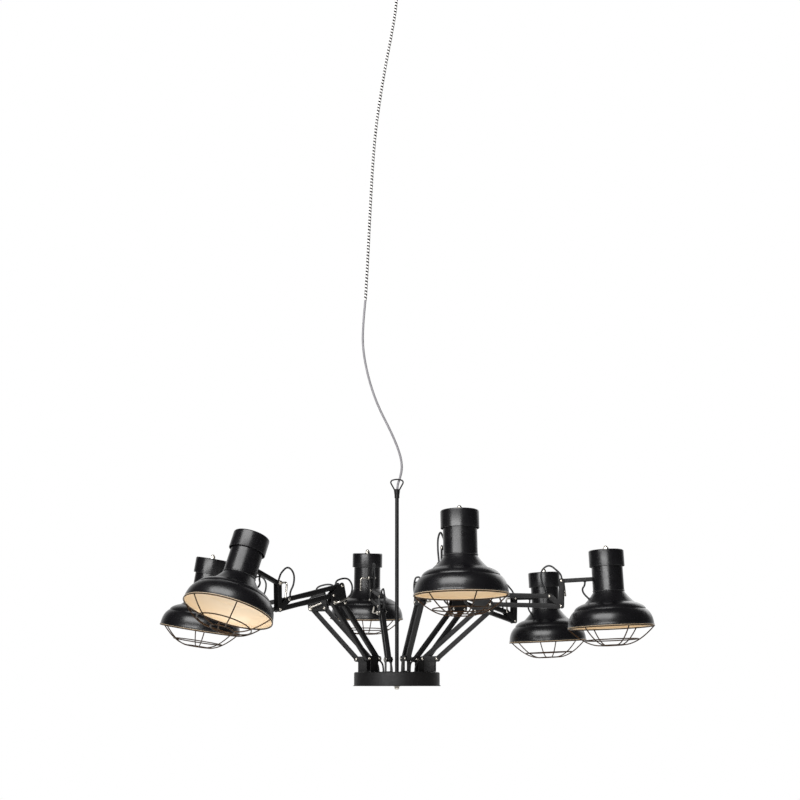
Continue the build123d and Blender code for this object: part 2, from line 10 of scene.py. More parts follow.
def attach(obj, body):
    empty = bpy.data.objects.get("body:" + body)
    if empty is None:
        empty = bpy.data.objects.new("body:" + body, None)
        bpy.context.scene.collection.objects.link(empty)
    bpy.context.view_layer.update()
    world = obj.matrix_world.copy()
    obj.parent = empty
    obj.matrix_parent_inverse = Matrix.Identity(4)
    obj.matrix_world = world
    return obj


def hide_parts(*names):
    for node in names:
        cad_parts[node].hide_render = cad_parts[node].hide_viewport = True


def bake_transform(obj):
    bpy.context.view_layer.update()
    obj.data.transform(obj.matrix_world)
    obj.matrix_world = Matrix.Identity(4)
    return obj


# Six-arm spider pendant light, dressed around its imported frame. Metres, +Z up, hanging eye at the origin.
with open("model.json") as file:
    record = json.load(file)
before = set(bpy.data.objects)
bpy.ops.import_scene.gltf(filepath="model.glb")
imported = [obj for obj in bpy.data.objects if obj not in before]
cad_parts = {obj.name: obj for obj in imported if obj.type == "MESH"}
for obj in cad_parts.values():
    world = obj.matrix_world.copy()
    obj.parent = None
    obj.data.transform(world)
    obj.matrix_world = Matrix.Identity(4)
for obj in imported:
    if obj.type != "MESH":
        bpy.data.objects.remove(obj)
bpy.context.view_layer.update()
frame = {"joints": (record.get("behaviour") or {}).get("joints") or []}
joints = {joint["name"]: joint for joint in frame["joints"]}
ARMS = range(1, 7)

# Camera: in front of the light, level with the foot of the hub, tipped up a little
CAMERA_PLACE = (0.00637, -2.9771, -0.4149)
CAMERA_TIP = 101.27
CAMERA_LENS = 64.37
SENSOR_WIDTH = 36.0

# Hub, stem and hanging loop
HUB_FOOT = -0.417
HUB_TOP = -0.389
HUB_RADIUS = 0.0875
HUB_WALL = 0.0015
HUB_ROOF = 0.002
HUB_EDGE = 0.003
PLATE_RADIUS = 0.0895
PLATE_THICKNESS = 0.0015
FINIAL_RADIUS = 0.005
FINIAL_HEIGHT = 0.007
TERMINAL_SIZE = (0.042, 0.016, 0.013)
TERMINAL_OFFSET = 0.034
STEM_RADIUS = 0.004
STEM_TOP = -0.025
STEM_NUT_RADIUS = 0.008
STEM_NUT_HEIGHT = 0.005
FERRULE_RADIUS = 0.0052
FERRULE_FLARE = 0.0064
FERRULE_TOP = -0.0125
FERRULE_FOOT = -0.031
LOOP_WIRE = 0.0015
LOOP_HALF_WIDTH = 0.0153
LOOP_CORNER_RISE = 0.0052
LOOP_CROWN_RISE = 0.0092
LOOP_FOOT_SPREAD = 0.0042
LOOP_FOOT = -0.0155
LEAD_HOLE_RING = 0.038
POST_RING = 0.070

# Bars, cheeks and pivots
BAR_HALF = 0.0045
BAR_EDGE = 0.0009
CHEEK_NEAR = 0.005
CHEEK_FAR = 0.0065
CHEEK_EDGE = 0.00035
POST_HALF_WIDTH = 0.011
POST_EAR = 0.0055
POST_SEAT = 0.0003
POST_WEB = 0.002
SWIVEL_RADIUS = 0.003
SWIVEL_NUT_RADIUS = 0.007
SWIVEL_NUT_HEIGHT = 0.004
ELBOW_EDGE = 0.0065
WRIST_EDGE = 0.005
SCREW_RADIUS = 0.0029
SCREW_RISE = 0.0018
LEVER_RADIUS = 0.0019
LEVER_BEND = 0.005
LEVER_HANDLE = 0.028
LEVER_BOSS_RADIUS = 0.0043
LEVER_BOSS_HEIGHT = 0.0032
ELBOW_REACH = 0.012
ELBOW_SLOPE = 160.0
WRIST_REACH = 0.020
WRIST_SLOPE = -84.0

# Lamp head, along its own axis from the arm's height
HEAD_ARM_REACH = 0.0922
HEAD_ARM_HALF = 0.004
LOWEST_TILT = -10.0
CAP_TOP = 0.056
CAP_FOOT = 0.023
CAP_RADIUS = 0.035
CAP_WALL = 0.0012
CAP_EDGE = 0.003
NECK_RADIUS = 0.0308
NECK_FOOT = -0.027
FLARE_RADIUS = 0.0495
FLARE_FOOT = -0.049
SHOULDER_RADIUS = 0.0705
SHOULDER_FOOT = -0.0618
STEP_RADIUS = 0.0721
STEP_FOOT = -0.0642
RIM_RADIUS = 0.0855
RIM_FOOT = -0.096
RIM_ROLL = 0.0014
SHEET = 0.0005
ENAMEL = 0.0001
HOLDER_RADIUS = 0.020
HOLDER_FOOT = -0.0072
BULB_RADIUS = 0.0225
BULB_FOOT = -0.0572
BULB_CAP_RADIUS = 0.0135
BULB_CAP_TOP = 0.0168
NUT_RADIUS = 0.0055
NUT_HEIGHT = 0.004
CAGE_WIRE = 0.0012
CAGE_RIBS = 6

# Leads and supply cord
LEAD_RADIUS = 0.0018
LEAD_SINK = 0.001
LEAD_STRAIGHT = 0.007
GROMMET_RING = 0.0024
GROMMET_THICKNESS = 0.0008
FOOT_LEAD_DEPTH = 0.010
FOOT_LEAD_RISE = 0.011
FOOT_LEAD_ANGLE = 205.0
ELBOW_LEAD_OUT = 0.011
ELBOW_LEAD_ANGLE = 140.0
ELBOW_LEAD_STEPS = [(-0.008, 0.016), (-0.026, 0.015), (-0.036, 0.0), (-0.030, -0.018)]
WRIST_LEAD_IN = 0.009
WRIST_LEAD_STEPS = [(-0.008, 0.020), (-0.025, 0.034), (-0.042, 0.022), (-0.042, 0.0)]
NECK_LEAD_STEPS = [(0.046, -0.003), (0.046, -0.0114), (0.053, -0.018), (0.0491, -0.0304), (0.0390, -0.0393)]
CORD_RADIUS = 0.0024
SLEEVE_RADIUS = 0.003
CORD_ROUTE = [
    (0.0, 0.0, -0.034),
    (0.0, 0.0, -0.006),
    (0.0064, 0.007, 0.012),
    (0.0112, 0.006, 0.034),
    (0.007, 0.003, 0.062),
    (-0.010, 0.0, 0.105),
    (-0.041, 0.0, 0.166),
    (-0.061, 0.0, 0.225),
    (-0.0735, 0.0, 0.290),
    (-0.073, 0.0, 0.345),
    (-0.068, 0.0, 0.398),
]
SLEEVE_ROUTE = [
    (-0.068, 0.0, 0.398),
    (-0.0642, 0.0, 0.468),
    (-0.061, 0.0, 0.545),
    (-0.0575, 0.0, 0.625),
    (-0.0535, 0.0, 0.705),
    (-0.0475, 0.0, 0.785),
    (-0.0375, 0.0, 0.862),
    (-0.026, 0.0, 0.937),
    (-0.013, 0.0, 1.008),
    (-0.003, 0.0, 1.072),
    (0.0, 0.0, 1.118),
    (0.0, 0.0, 1.146),
]

# Ceiling fitting
CEILING = 1.177
CANOPY_RADIUS = 0.050
CANOPY_HEIGHT = 0.026
CANOPY_WALL = 0.0015
CANOPY_EDGE = 0.006
GRIP_RADIUS = 0.007
GRIP_HEIGHT = 0.014
FIXING_RADIUS = 0.0482
FIXING_THICKNESS = 0.002


# Shapes

def as_mesh(shape):
    """Ends work on a shape and gives it as a mesh."""
    mesh = bpy.data.meshes.new("shape")
    shape.to_mesh(mesh)
    shape.free()
    return mesh


def lengths_along(points):
    """How far each point of a line is from its first, along the line."""
    total, lengths = 0.0, [0.0]
    for before, after in zip(points, points[1:]):
        total += (Vector(after) - Vector(before)).length
        lengths.append(total)
    return lengths


def arc(centre, radius, first, last, steps=8):
    """Points of a round stretch of an outline, between two angles in radians."""
    turns = [first + (last - first) * step / steps for step in range(steps + 1)]
    return [Vector(centre) + Vector((radius * cos(turn), radius * sin(turn))) for turn in turns]


def bow(start, knee, end, steps=12):
    """Points of a curve that leaves its start and meets its end in line with a knee between them."""
    points = []
    for step in range(steps + 1):
        t = step / steps
        points.append((1 - t) ** 2 * Vector(start) + 2 * t * (1 - t) * Vector(knee) + t * t * Vector(end))
    return points


def rounded(corners, closed=True, steps=6):
    """A line through corners, each given with the radius of its rounding after its place."""
    points = []
    for index, (*place, radius) in enumerate(corners):
        corner = Vector(place)
        if radius == 0:
            points.append(corner)
            continue
        following = corners[(index + 1) % len(corners)]
        back = (Vector(corners[index - 1][:-1]) - corner).normalized()
        ahead = (Vector(following[:-1]) - corner).normalized()
        half = back.angle(ahead) / 2
        centre = corner + (back + ahead).normalized() * radius / sin(half)
        first = corner + back * radius / tan(half) - centre
        last = corner + ahead * radius / tan(half) - centre
        turn = pi - 2 * half
        for step in range(steps + 1):
            share = step / steps
            weights = sin((1 - share) * turn) / sin(turn), sin(share * turn) / sin(turn)
            points.append(centre + first * weights[0] + last * weights[1])
    return points


def ribbon(points, half_width):
    """The outline of a strip along two or more points, with round ends."""
    outline = []
    for line in (points, points[::-1]):
        ways = [(after - before).normalized() for before, after in zip(line, line[1:])]
        for place, way, following in zip(line[1:], ways, ways[1:] + [None]):
            left = atan2(way.y, way.x) + pi / 2
            if following is None:
                outline += arc(place, half_width, left, left - pi, steps=12)
                continue
            turn = way.angle_signed(following)
            if turn > 0:
                outline += arc(place, half_width, left, left - turn)
            else:
                side = Vector((-way.y, way.x)) + Vector((-following.y, following.x))
                outline.append(place + side.normalized() * half_width / cos(turn / 2))
    return outline


def hull(points, radius):
    """The outline of a plate whose edge runs round all its pivots."""
    rim = [spot for point in points for spot in arc(point, radius, 0, 2 * pi, steps=48)[:-1]]
    return [rim[index] for index in convex_hull_2d(rim)]


def plate(outline, near, far, edge):
    """A flat outline in an arm's plane, thickened across it, with softly rounded rims."""
    shape = bmesh.new()
    face = shape.faces.new([shape.verts.new((point.x, near, point.y)) for point in outline])
    made = bmesh.ops.extrude_face_region(shape, geom=[face])["geom"]
    moved = [item for item in made if isinstance(item, bmesh.types.BMVert)]
    bmesh.ops.translate(shape, verts=moved, vec=(0, far - near, 0))
    rims = [item for item in shape.edges if abs(item.verts[0].co.y - item.verts[1].co.y) < edge / 10]
    bmesh.ops.bevel(shape, geom=rims, offset=edge, segments=3, profile=0.5, affect="EDGES")
    bmesh.ops.recalc_face_normals(shape, faces=shape.faces)
    return as_mesh(shape)


def spun(outline, around=96, closed=True):
    """A shape of revolution about Z from (radius, height) points. Its UV map is in turns and metres."""
    shape = bmesh.new()
    surface = shape.loops.layers.uv.new("surface")
    turns = [2 * pi * step / around for step in range(around)]
    rows = [[shape.verts.new((r * cos(a), r * sin(a), z)) for a in turns] for r, z in outline]
    along = lengths_along(outline)
    pairs = list(zip(range(len(outline)), range(1, len(outline))))
    if closed:
        pairs.append((len(outline) - 1, 0))
    for row, below in pairs:
        for step in range(around):
            after = (step + 1) % around
            corners = (rows[row][step], rows[row][after], rows[below][after], rows[below][step])
            face = shape.faces.new(corners)
            spots = ((step, row), (step + 1, row), (step + 1, below), (step, below))
            for loop, (turn, line) in zip(face.loops, spots):
                loop[surface].uv = (turn / around, along[line])
    bmesh.ops.remove_doubles(shape, verts=shape.verts, dist=1e-6)
    bmesh.ops.recalc_face_normals(shape, faces=shape.faces)
    return as_mesh(shape)


def tube(line, radius, sides=12, dome=0):
    """A round rod along a line, its ends domed or flat. Its UV map is in turns and metres."""
    line = [Vector(point) for point in line]
    radii = [radius] * len(line)
    if dome:
        first, last = (line[0] - line[1]).normalized(), (line[-1] - line[-2]).normalized()
        turns = [pi / 2 * (step + 0.7) / dome for step in range(dome)]
        heads = [(radius * sin(turn), radius * cos(turn)) for turn in turns if turn < pi / 2]
        line = [line[0] + first * out for out, _ in heads[::-1]] + line + [line[-1] + last * out for out, _ in heads]
        radii = [size for _, size in heads[::-1]] + radii + [size for _, size in heads]
    shape = bmesh.new()
    surface = shape.loops.layers.uv.new("surface")
    along = lengths_along(line)
    side = (line[1] - line[0]).orthogonal()
    rings = []
    for index, (point, size) in enumerate(zip(line, radii)):
        way = (line[min(index + 1, len(line) - 1)] - line[max(index - 1, 0)]).normalized()
        side = (side - way * side.dot(way)).normalized()
        other = way.cross(side)
        turns = [2 * pi * step / sides for step in range(sides)]
        rings.append([shape.verts.new(point + (side * cos(a) + other * sin(a)) * size) for a in turns])
    for row in range(len(rings) - 1):
        for step in range(sides):
            after = (step + 1) % sides
            face = shape.faces.new((rings[row][step], rings[row][after], rings[row + 1][after], rings[row + 1][step]))
            spots = ((step, row), (step + 1, row), (step + 1, row + 1), (step, row + 1))
            for loop, (turn, ring) in zip(face.loops, spots):
                loop[surface].uv = (turn / sides, along[ring])
    shape.faces.new(rings[0][::-1])
    shape.faces.new(rings[-1])
    bmesh.ops.recalc_face_normals(shape, faces=shape.faces)
    return as_mesh(shape)


def route_line(route):
    """The smooth line of a cord: a NURBS spline with the route's points as its control points."""
    curve = bpy.data.curves.new("route", "CURVE")
    curve.dimensions = "3D"
    curve.resolution_u = 12
    spline = curve.splines.new("NURBS")
    spline.points.add(len(route) - 1)
    for point, place in zip(spline.points, route):
        point.co = (*place, 1)
    spline.order_u = 3
    spline.use_endpoint_u = True
    holder = bpy.data.objects.new("route", curve)
    mesh = bpy.data.meshes.new_from_object(holder)
    line = [vertex.co.copy() for vertex in mesh.vertices]
    bpy.data.objects.remove(holder)
    return line


def moved(mesh, place):
    """A copy of a shape at another place."""
    copy = mesh.copy()
    copy.transform(place)
    return copy


def along_y(place):
    """Turns a shape made about Z to stand on a cheek, facing across the arm."""
    return Matrix.Translation(place) @ Matrix.Rotation(-pi / 2, 4, "X")


def piece(name, shapes, finish, body, at=Matrix(), stands_for=(), crease=32):
    """Puts a piece, made of one or more shapes, in its place on the body that carries it."""
    whole = bmesh.new()
    for shape in shapes:
        whole.from_mesh(shape)
    whole.transform(at)
    mesh = bpy.data.meshes.new(name)
    whole.to_mesh(mesh)
    whole.free()
    mesh.materials.clear()
    mesh.materials.append(finish)
    mesh.shade_smooth()
    mesh.set_sharp_from_angle(angle=radians(crease))
    made = bpy.data.objects.new(name, mesh)
    bpy.context.scene.collection.objects.link(made)
    if body is not None:
        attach(made, body)
    if stands_for:
        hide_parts(*stands_for)
    return made


# Node trees

def add(tree, kind, inputs=None, **settings):
    """Adds a node with its settings, and a value or another node's output for each named input."""
    node = tree.nodes.new(kind)
    for name, value in settings.items():
        setattr(node, name, value)
    for name, value in (inputs or {}).items():
        sources = value if isinstance(value, list) else [value]
        for source in sources:
            if isinstance(source, bpy.types.NodeSocket):
                tree.links.new(source, node.inputs[name])
            else:
                node.inputs[name].default_value = source
    return node


def new_tree(name, sizes):
    """A Geometry Nodes tree that takes a mesh, a finish and named sizes."""
    tree = bpy.data.node_groups.new(name, "GeometryNodeTree")
    tree.interface.new_socket("Geometry", in_out="OUTPUT", socket_type="NodeSocketGeometry")
    tree.interface.new_socket("Geometry", in_out="INPUT", socket_type="NodeSocketGeometry")
    tree.interface.new_socket("Finish", in_out="INPUT", socket_type="NodeSocketMaterial")
    for size in sizes:
        kind = "NodeSocketInt" if size == "Ribs" else "NodeSocketFloat"
        tree.interface.new_socket(size, in_out="INPUT", socket_type=kind)
    return tree, add(tree, "NodeGroupInput").outputs


def close_tree(tree, geometry, given):
    """Ends a tree: instances made real, and the finish set."""
    real = add(tree, "GeometryNodeRealizeInstances", {"Geometry": geometry})
    painted = add(tree, "GeometryNodeSetMaterial", {"Geometry": real.outputs[0], "Material": given["Finish"]})
    add(tree, "NodeGroupOutput", {"Geometry": painted.outputs[0]})
    return tree


def grow(tree, base, finish, sizes):
    """The plain mesh that a tree makes of a base mesh with these sizes."""
    carrier = bpy.data.objects.new("carrier", base)
    bpy.context.scene.collection.objects.link(carrier)
    modifier = carrier.modifiers.new("grow", "NODES")
    modifier.node_group = tree
    sockets = {item.name: item.identifier for item in tree.interface.items_tree if item.in_out == "INPUT"}
    modifier[sockets["Finish"]] = finish
    for name, value in sizes.items():
        modifier[sockets[name]] = value
    bpy.context.view_layer.update()
    evaluated = carrier.evaluated_get(bpy.context.evaluated_depsgraph_get())
    mesh = bpy.data.meshes.new_from_object(evaluated)
    carrier.modifiers.remove(modifier)
    bpy.data.objects.remove(carrier)
    return mesh


def spots_mesh(spots):
    """Bare points, each with the way it faces, for a tree to set things on."""
    mesh = bpy.data.meshes.new("spots")
    mesh.from_pydata([place for place, _ in spots], [], [])
    facing = mesh.attributes.new("facing", "FLOAT_VECTOR", "POINT")
    facing.data.foreach_set("vector", [value for _, way in spots for value in way])
    return mesh


def facing_rotation(tree):
    """Turns each instance to stand along its point's facing."""
    facing = add(tree, "GeometryNodeInputNamedAttribute", {"Name": "facing"}, data_type="FLOAT_VECTOR")
    aligned = add(tree, "FunctionNodeAlignRotationToVector", {"Vector": facing.outputs["Attribute"]}, axis="Z")
    return aligned.outputs["Rotation"]


def screw_tree():
    """Pan-head screws with a cross recess, each turned by its own chance amount."""
    tree, given = new_tree("pan_head_screws", ["Head Radius", "Head Rise"])
    ball = add(tree, "GeometryNodeMeshUVSphere", {"Segments": 20, "Rings": 12, "Radius": 1.0})
    size = add(tree, "ShaderNodeCombineXYZ", {"X": given["Head Radius"], "Y": given["Head Radius"], "Z": given["Head Rise"]})
    head = add(tree, "GeometryNodeTransform", {"Geometry": ball.outputs["Mesh"], "Scale": size.outputs[0]})
    long_side = add(tree, "ShaderNodeMath", {0: given["Head Radius"], 1: 1.1}, operation="MULTIPLY")
    short_side = add(tree, "ShaderNodeMath", {0: given["Head Radius"], 1: 0.26}, operation="MULTIPLY")
    lift = add(tree, "ShaderNodeCombineXYZ", {"Z": given["Head Rise"]})
    cutters = []
    for across, along in ((long_side, short_side), (short_side, long_side)):
        sides = {"X": across.outputs[0], "Y": along.outputs[0], "Z": given["Head Rise"]}
        sides = add(tree, "ShaderNodeCombineXYZ", sides)
        block = add(tree, "GeometryNodeMeshCube", {"Size": sides.outputs[0]})
        cutter = {"Geometry": block.outputs["Mesh"], "Translation": lift.outputs[0]}
        cutters.append(add(tree, "GeometryNodeTransform", cutter).outputs[0])
    cut = {"Mesh 1": head.outputs[0], "Mesh 2": cutters}
    cut = add(tree, "GeometryNodeMeshBoolean", cut, operation="DIFFERENCE")
    chance = add(tree, "FunctionNodeRandomValue", {"Max": (0.0, 0.0, pi / 2), "Seed": 7}, data_type="FLOAT_VECTOR")
    twist = {"Rotation": facing_rotation(tree), "Rotate By": chance.outputs[0]}
    twist = add(tree, "FunctionNodeRotateRotation", twist, rotation_space="LOCAL")
    places = {"Points": given["Geometry"], "Instance": cut.outputs["Mesh"], "Rotation": twist.outputs[0]}
    screws = add(tree, "GeometryNodeInstanceOnPoints", places)
    return close_tree(tree, screws.outputs[0], given)


def grommet_tree():
    """Rubber rings, each round the place where a lead goes through metal."""
    tree, given = new_tree("lead_grommets", ["Ring Radius", "Thickness"])
    ring = add(tree, "GeometryNodeCurvePrimitiveCircle", {"Resolution": 24, "Radius": given["Ring Radius"]})
    section = add(tree, "GeometryNodeCurvePrimitiveCircle", {"Resolution": 10, "Radius": given["Thickness"]})
    sweep = {"Curve": ring.outputs["Curve"], "Profile Curve": section.outputs["Curve"]}
    sweep = add(tree, "GeometryNodeCurveToMesh", sweep)
    places = {"Points": given["Geometry"], "Instance": sweep.outputs[0], "Rotation": facing_rotation(tree)}
    rings = add(tree, "GeometryNodeInstanceOnPoints", places)
    return close_tree(tree, rings.outputs[0], given)


def cage_tree():
    """Three wire rings and the ribs that curve from the widest down to the smallest."""
    levels = ("Rim", "Middle", "End", "Knee")
    sizes = [f"{level} {size}" for level in levels for size in ("Radius", "Height")]
    tree, given = new_tree("wire_cage", [*sizes, "Wire Radius", "Ribs"])
    wires = []
    for level in levels[:3]:
        ring = add(tree, "GeometryNodeCurvePrimitiveCircle", {"Resolution": 128, "Radius": given[f"{level} Radius"]})
        drop = add(tree, "ShaderNodeCombineXYZ", {"Z": given[f"{level} Height"]})
        at_level = {"Geometry": ring.outputs["Curve"], "Translation": drop.outputs[0]}
        wires.append(add(tree, "GeometryNodeTransform", at_level).outputs[0])
    ends = {}
    for socket, level in (("Start", "Rim"), ("Middle", "Knee"), ("End", "End")):
        place = {"X": given[f"{level} Radius"], "Z": given[f"{level} Height"]}
        ends[socket] = add(tree, "ShaderNodeCombineXYZ", place).outputs[0]
    rib = add(tree, "GeometryNodeCurveQuadraticBezier", {"Resolution": 28, **ends})
    axis = add(tree, "GeometryNodeMeshCircle", {"Vertices": given["Ribs"], "Radius": 0.0})
    index = add(tree, "GeometryNodeInputIndex")
    share = add(tree, "ShaderNodeMath", {0: index.outputs[0], 1: given["Ribs"]}, operation="DIVIDE")
    turn = add(tree, "ShaderNodeMath", {0: share.outputs[0], 1: 2 * pi}, operation="MULTIPLY")
    about_axis = add(tree, "ShaderNodeCombineXYZ", {"Z": turn.outputs[0]})
    places = {"Points": axis.outputs["Mesh"], "Instance": rib.outputs["Curve"], "Rotation": about_axis.outputs[0]}
    ribs = add(tree, "GeometryNodeInstanceOnPoints", places)
    wires.append(add(tree, "GeometryNodeRealizeInstances", {"Geometry": ribs.outputs[0]}).outputs[0])
    joined = add(tree, "GeometryNodeJoinGeometry", {"Geometry": wires})
    section = add(tree, "GeometryNodeCurvePrimitiveCircle", {"Resolution": 10, "Radius": given["Wire Radius"]})
    sweep = {"Curve": joined.outputs[0], "Profile Curve": section.outputs["Curve"], "Fill Caps": True}
    sweep = add(tree, "GeometryNodeCurveToMesh", sweep)
    return close_tree(tree, sweep.outputs[0], given)


# Finishes

def linear(colour):
    """An sRGB hex colour as the linear one that a shader takes."""
    channels = [int(colour[start:start + 2], 16) / 255 for start in (1, 3, 5)]
    return (*[c / 12.92 if c <= 0.04045 else ((c + 0.055) / 1.055) ** 2.4 for c in channels], 1.0)


def new_finish(name, colour, **sockets):
    """A material with its shader's plain values set, and its tree and shader for the rest."""
    material = bpy.data.materials.new(name)
    material.use_nodes = True
    tree = material.node_tree
    shader = tree.nodes["Principled BSDF"]
    shader.inputs["Base Color"].default_value = linear(colour)
    for socket, value in sockets.items():
        shader.inputs[socket.replace("_", " ")].default_value = value
    return material, tree, shader


def uneven(tree, shader, grain, low, high):
    """Lets the gloss change a little over the surface, in patches of that size."""
    spot = add(tree, "ShaderNodeTexCoord").outputs["Object"]
    patches = add(tree, "ShaderNodeTexNoise", {"Vector": spot, "Scale": 1 / grain, "Detail": 2.0})
    spread = {"Value": patches.outputs["Fac"], "From Min": 0.3, "From Max": 0.7, "To Min": low, "To Max": high}
    spread = add(tree, "ShaderNodeMapRange", spread)
    tree.links.new(spread.outputs[0], shader.inputs["Roughness"])


def relief(tree, shader, grain, height, detail=2.0):
    """Raises a fine grain of that size and height on the surface."""
    spot = add(tree, "ShaderNodeTexCoord").outputs["Object"]
    noise = add(tree, "ShaderNodeTexNoise", {"Vector": spot, "Scale": 1 / grain, "Detail": detail})
    bump = add(tree, "ShaderNodeBump", {"Height": noise.outputs["Fac"], "Distance": height, "Strength": 1.0})
    tree.links.new(bump.outputs[0], shader.inputs["Normal"])


def satin_black_powder_coat():
    """Baked powder coat on steel: deep black, satin, with a faint orange peel that softens highlights."""
    material, tree, shader = new_finish("satin_black_powder_coat", "#09080b", Roughness=0.28, IOR=1.62)
    uneven(tree, shader, grain=0.012, low=0.25, high=0.31)
    # Real orange peel is about 1 mm across; it is drawn at 2.5 mm so that it shows
    relief(tree, shader, grain=0.0025, height=0.000002)
    return material


def matt_black_powder_coat():
    """The same coat baked rougher on hub, stem and arms: black, with a dull sheen on faces that meet the light."""
    material, tree, shader = new_finish("matt_black_powder_coat", "#0a090a", Roughness=0.5, IOR=1.4)
    uneven(tree, shader, grain=0.01, low=0.46, high=0.54)
    relief(tree, shader, grain=0.0025, height=0.000004)
    return material


def bronzed_black_wire():
    """Blackened bronze-plated wire: near black in the dark, golden brown where the bulb lights it."""
    material, tree, shader = new_finish("bronzed_black_wire", "#38281a", Metallic=0.85, Roughness=0.34)
    uneven(tree, shader, grain=0.004, low=0.28, high=0.42)
    relief(tree, shader, grain=0.0012, height=0.00001)
    return material


def white_enamel_with_painted_glow():
    """Enamel sprayed inside the shade: creamy white, with a painted glow for the bulb's light, cream deep inside and
    amber towards the rim.
    """
    material, tree, shader = new_finish("white_enamel_with_painted_glow", "#d8c9b2", Roughness=0.35)
    # Painted glow: emission, cream deep in the shade and amber towards the rim, stands in for the bulb's light
    depth = add(tree, "ShaderNodeUVMap", uv_map="surface")
    depth = add(tree, "ShaderNodeSeparateXYZ", {0: depth.outputs[0]})
    glow = add(tree, "ShaderNodeMapRange", {"Value": depth.outputs["Y"], "From Min": 0.05, "From Max": 0.108})
    ramp = add(tree, "ShaderNodeValToRGB", {"Fac": glow.outputs[0]})
    ramp.color_ramp.elements[0].color = linear("#ffecd2")
    ramp.color_ramp.elements[1].color = linear("#f6c67c")
    tree.links.new(ramp.outputs["Color"], shader.inputs["Emission Color"])
    shader.inputs["Emission Strength"].default_value = 0.22
    relief(tree, shader, grain=0.003, height=0.00002)
    return material


def nickel_plated_steel():
    """Bright nickel over turned steel: a warm silver mirror, softened by fine turning marks."""
    material, tree, shader = new_finish("nickel_plated_steel", "#cdc8bf", Metallic=1.0, Roughness=0.2)
    uneven(tree, shader, grain=0.003, low=0.14, high=0.28)
    relief(tree, shader, grain=0.0008, height=0.000005)
    return material


def black_cable_sheath():
    """Extruded black PVC: dull black with a long soft highlight and faint drag lines."""
    material, tree, shader = new_finish("black_cable_sheath", "#111113", Roughness=0.42)
    uneven(tree, shader, grain=0.006, low=0.36, high=0.48)
    relief(tree, shader, grain=0.0015, height=0.00001)
    return material


def grey_cable_sheath():
    """Extruded grey PVC: even mid grey, dull, with a soft highlight."""
    material, tree, shader = new_finish("grey_cable_sheath", "#858387", Roughness=0.5)
    uneven(tree, shader, grain=0.008, low=0.44, high=0.56)
    relief(tree, shader, grain=0.0015, height=0.00002)
    return material


def striped_textile_sleeve():
    """Woven cotton over the cord: one black and one white yarn band that wind up it together."""
    material, tree, shader = new_finish("striped_textile_sleeve", "#ffffff", Roughness=0.9, Sheen_Weight=0.06)
    pitch = 0.00725
    yarn = 0.0009
    place = add(tree, "ShaderNodeUVMap", uv_map="surface")
    place = add(tree, "ShaderNodeSeparateXYZ", {0: place.outputs[0]})
    climb = add(tree, "ShaderNodeMath", {0: place.outputs["Y"], 1: 1 / pitch}, operation="MULTIPLY")
    wind = add(tree, "ShaderNodeMath", {0: climb.outputs[0], 1: place.outputs["X"]}, operation="ADD")
    band = add(tree, "ShaderNodeMath", {0: wind.outputs[0]}, operation="FRACT")
    black = add(tree, "ShaderNodeMath", {0: band.outputs[0], 1: 0.5}, operation="LESS_THAN")
    yarns = {0: black.outputs[0], 6: linear("#f0eeec"), 7: linear("#0b0a0b")}
    paint = add(tree, "ShaderNodeMix", yarns, data_type="RGBA")
    tree.links.new(paint.outputs[2], shader.inputs["Base Color"])
    strands = add(tree, "ShaderNodeMath", {0: wind.outputs[0], 1: 2 * pi * pitch / yarn}, operation="MULTIPLY")
    swell = add(tree, "ShaderNodeMath", {0: strands.outputs[0]}, operation="SINE")
    bump = add(tree, "ShaderNodeBump", {"Height": swell.outputs[0], "Distance": 0.0001, "Strength": 1.0})
    tree.links.new(bump.outputs[0], shader.inputs["Normal"])
    return material


def opal_bulb_glass():
    """Acid-etched opal glass, lit from inside: an even warm white."""
    material, tree, shader = new_finish("opal_bulb_glass", "#fff6e8", Roughness=0.4)
    shader.inputs["Emission Color"].default_value = linear("#ffd9a6")
    shader.inputs["Emission Strength"].default_value = 1.5
    relief(tree, shader, grain=0.0006, height=0.00001)
    return material


def black_bakelite():
    """Pressed bakelite of the lamp holder: brownish black with a hard shine."""
    material, tree, shader = new_finish("black_bakelite", "#1a1512", Roughness=0.25)
    uneven(tree, shader, grain=0.008, low=0.2, high=0.32)
    relief(tree, shader, grain=0.002, height=0.00001)
    return material


def black_rubber():
    """Moulded rubber of the grommets: matt black with a fine sand."""
    material, tree, shader = new_finish("black_rubber", "#141414", Roughness=0.7)
    relief(tree, shader, grain=0.0006, height=0.00003)
    return material


def white_nylon():
    """Moulded nylon of the terminal block: milky white, semi-matt."""
    material, tree, shader = new_finish("white_nylon", "#e6e2d6", Roughness=0.45)
    relief(tree, shader, grain=0.002, height=0.00002)
    return material


black = satin_black_powder_coat()
arm_black = matt_black_powder_coat()
wire = bronzed_black_wire()
enamel_with_painted_glow = white_enamel_with_painted_glow()
nickel = nickel_plated_steel()
sheath = black_cable_sheath()
grey_sheath = grey_cable_sheath()
textile = striped_textile_sleeve()
opal = opal_bulb_glass()
bakelite = black_bakelite()
rubber = black_rubber()
nylon = white_nylon()
screws = screw_tree()
grommets = grommet_tree()
cages = cage_tree()


# Supply cord

def cord(name, route, radius, finish, spacing=None):
    """A free stretch of the supply cord along its route."""
    line = route_line(route)
    made = piece(name, [tube(line, radius, sides=16)], finish, "root")
    length = lengths_along(line)[-1]
    return made


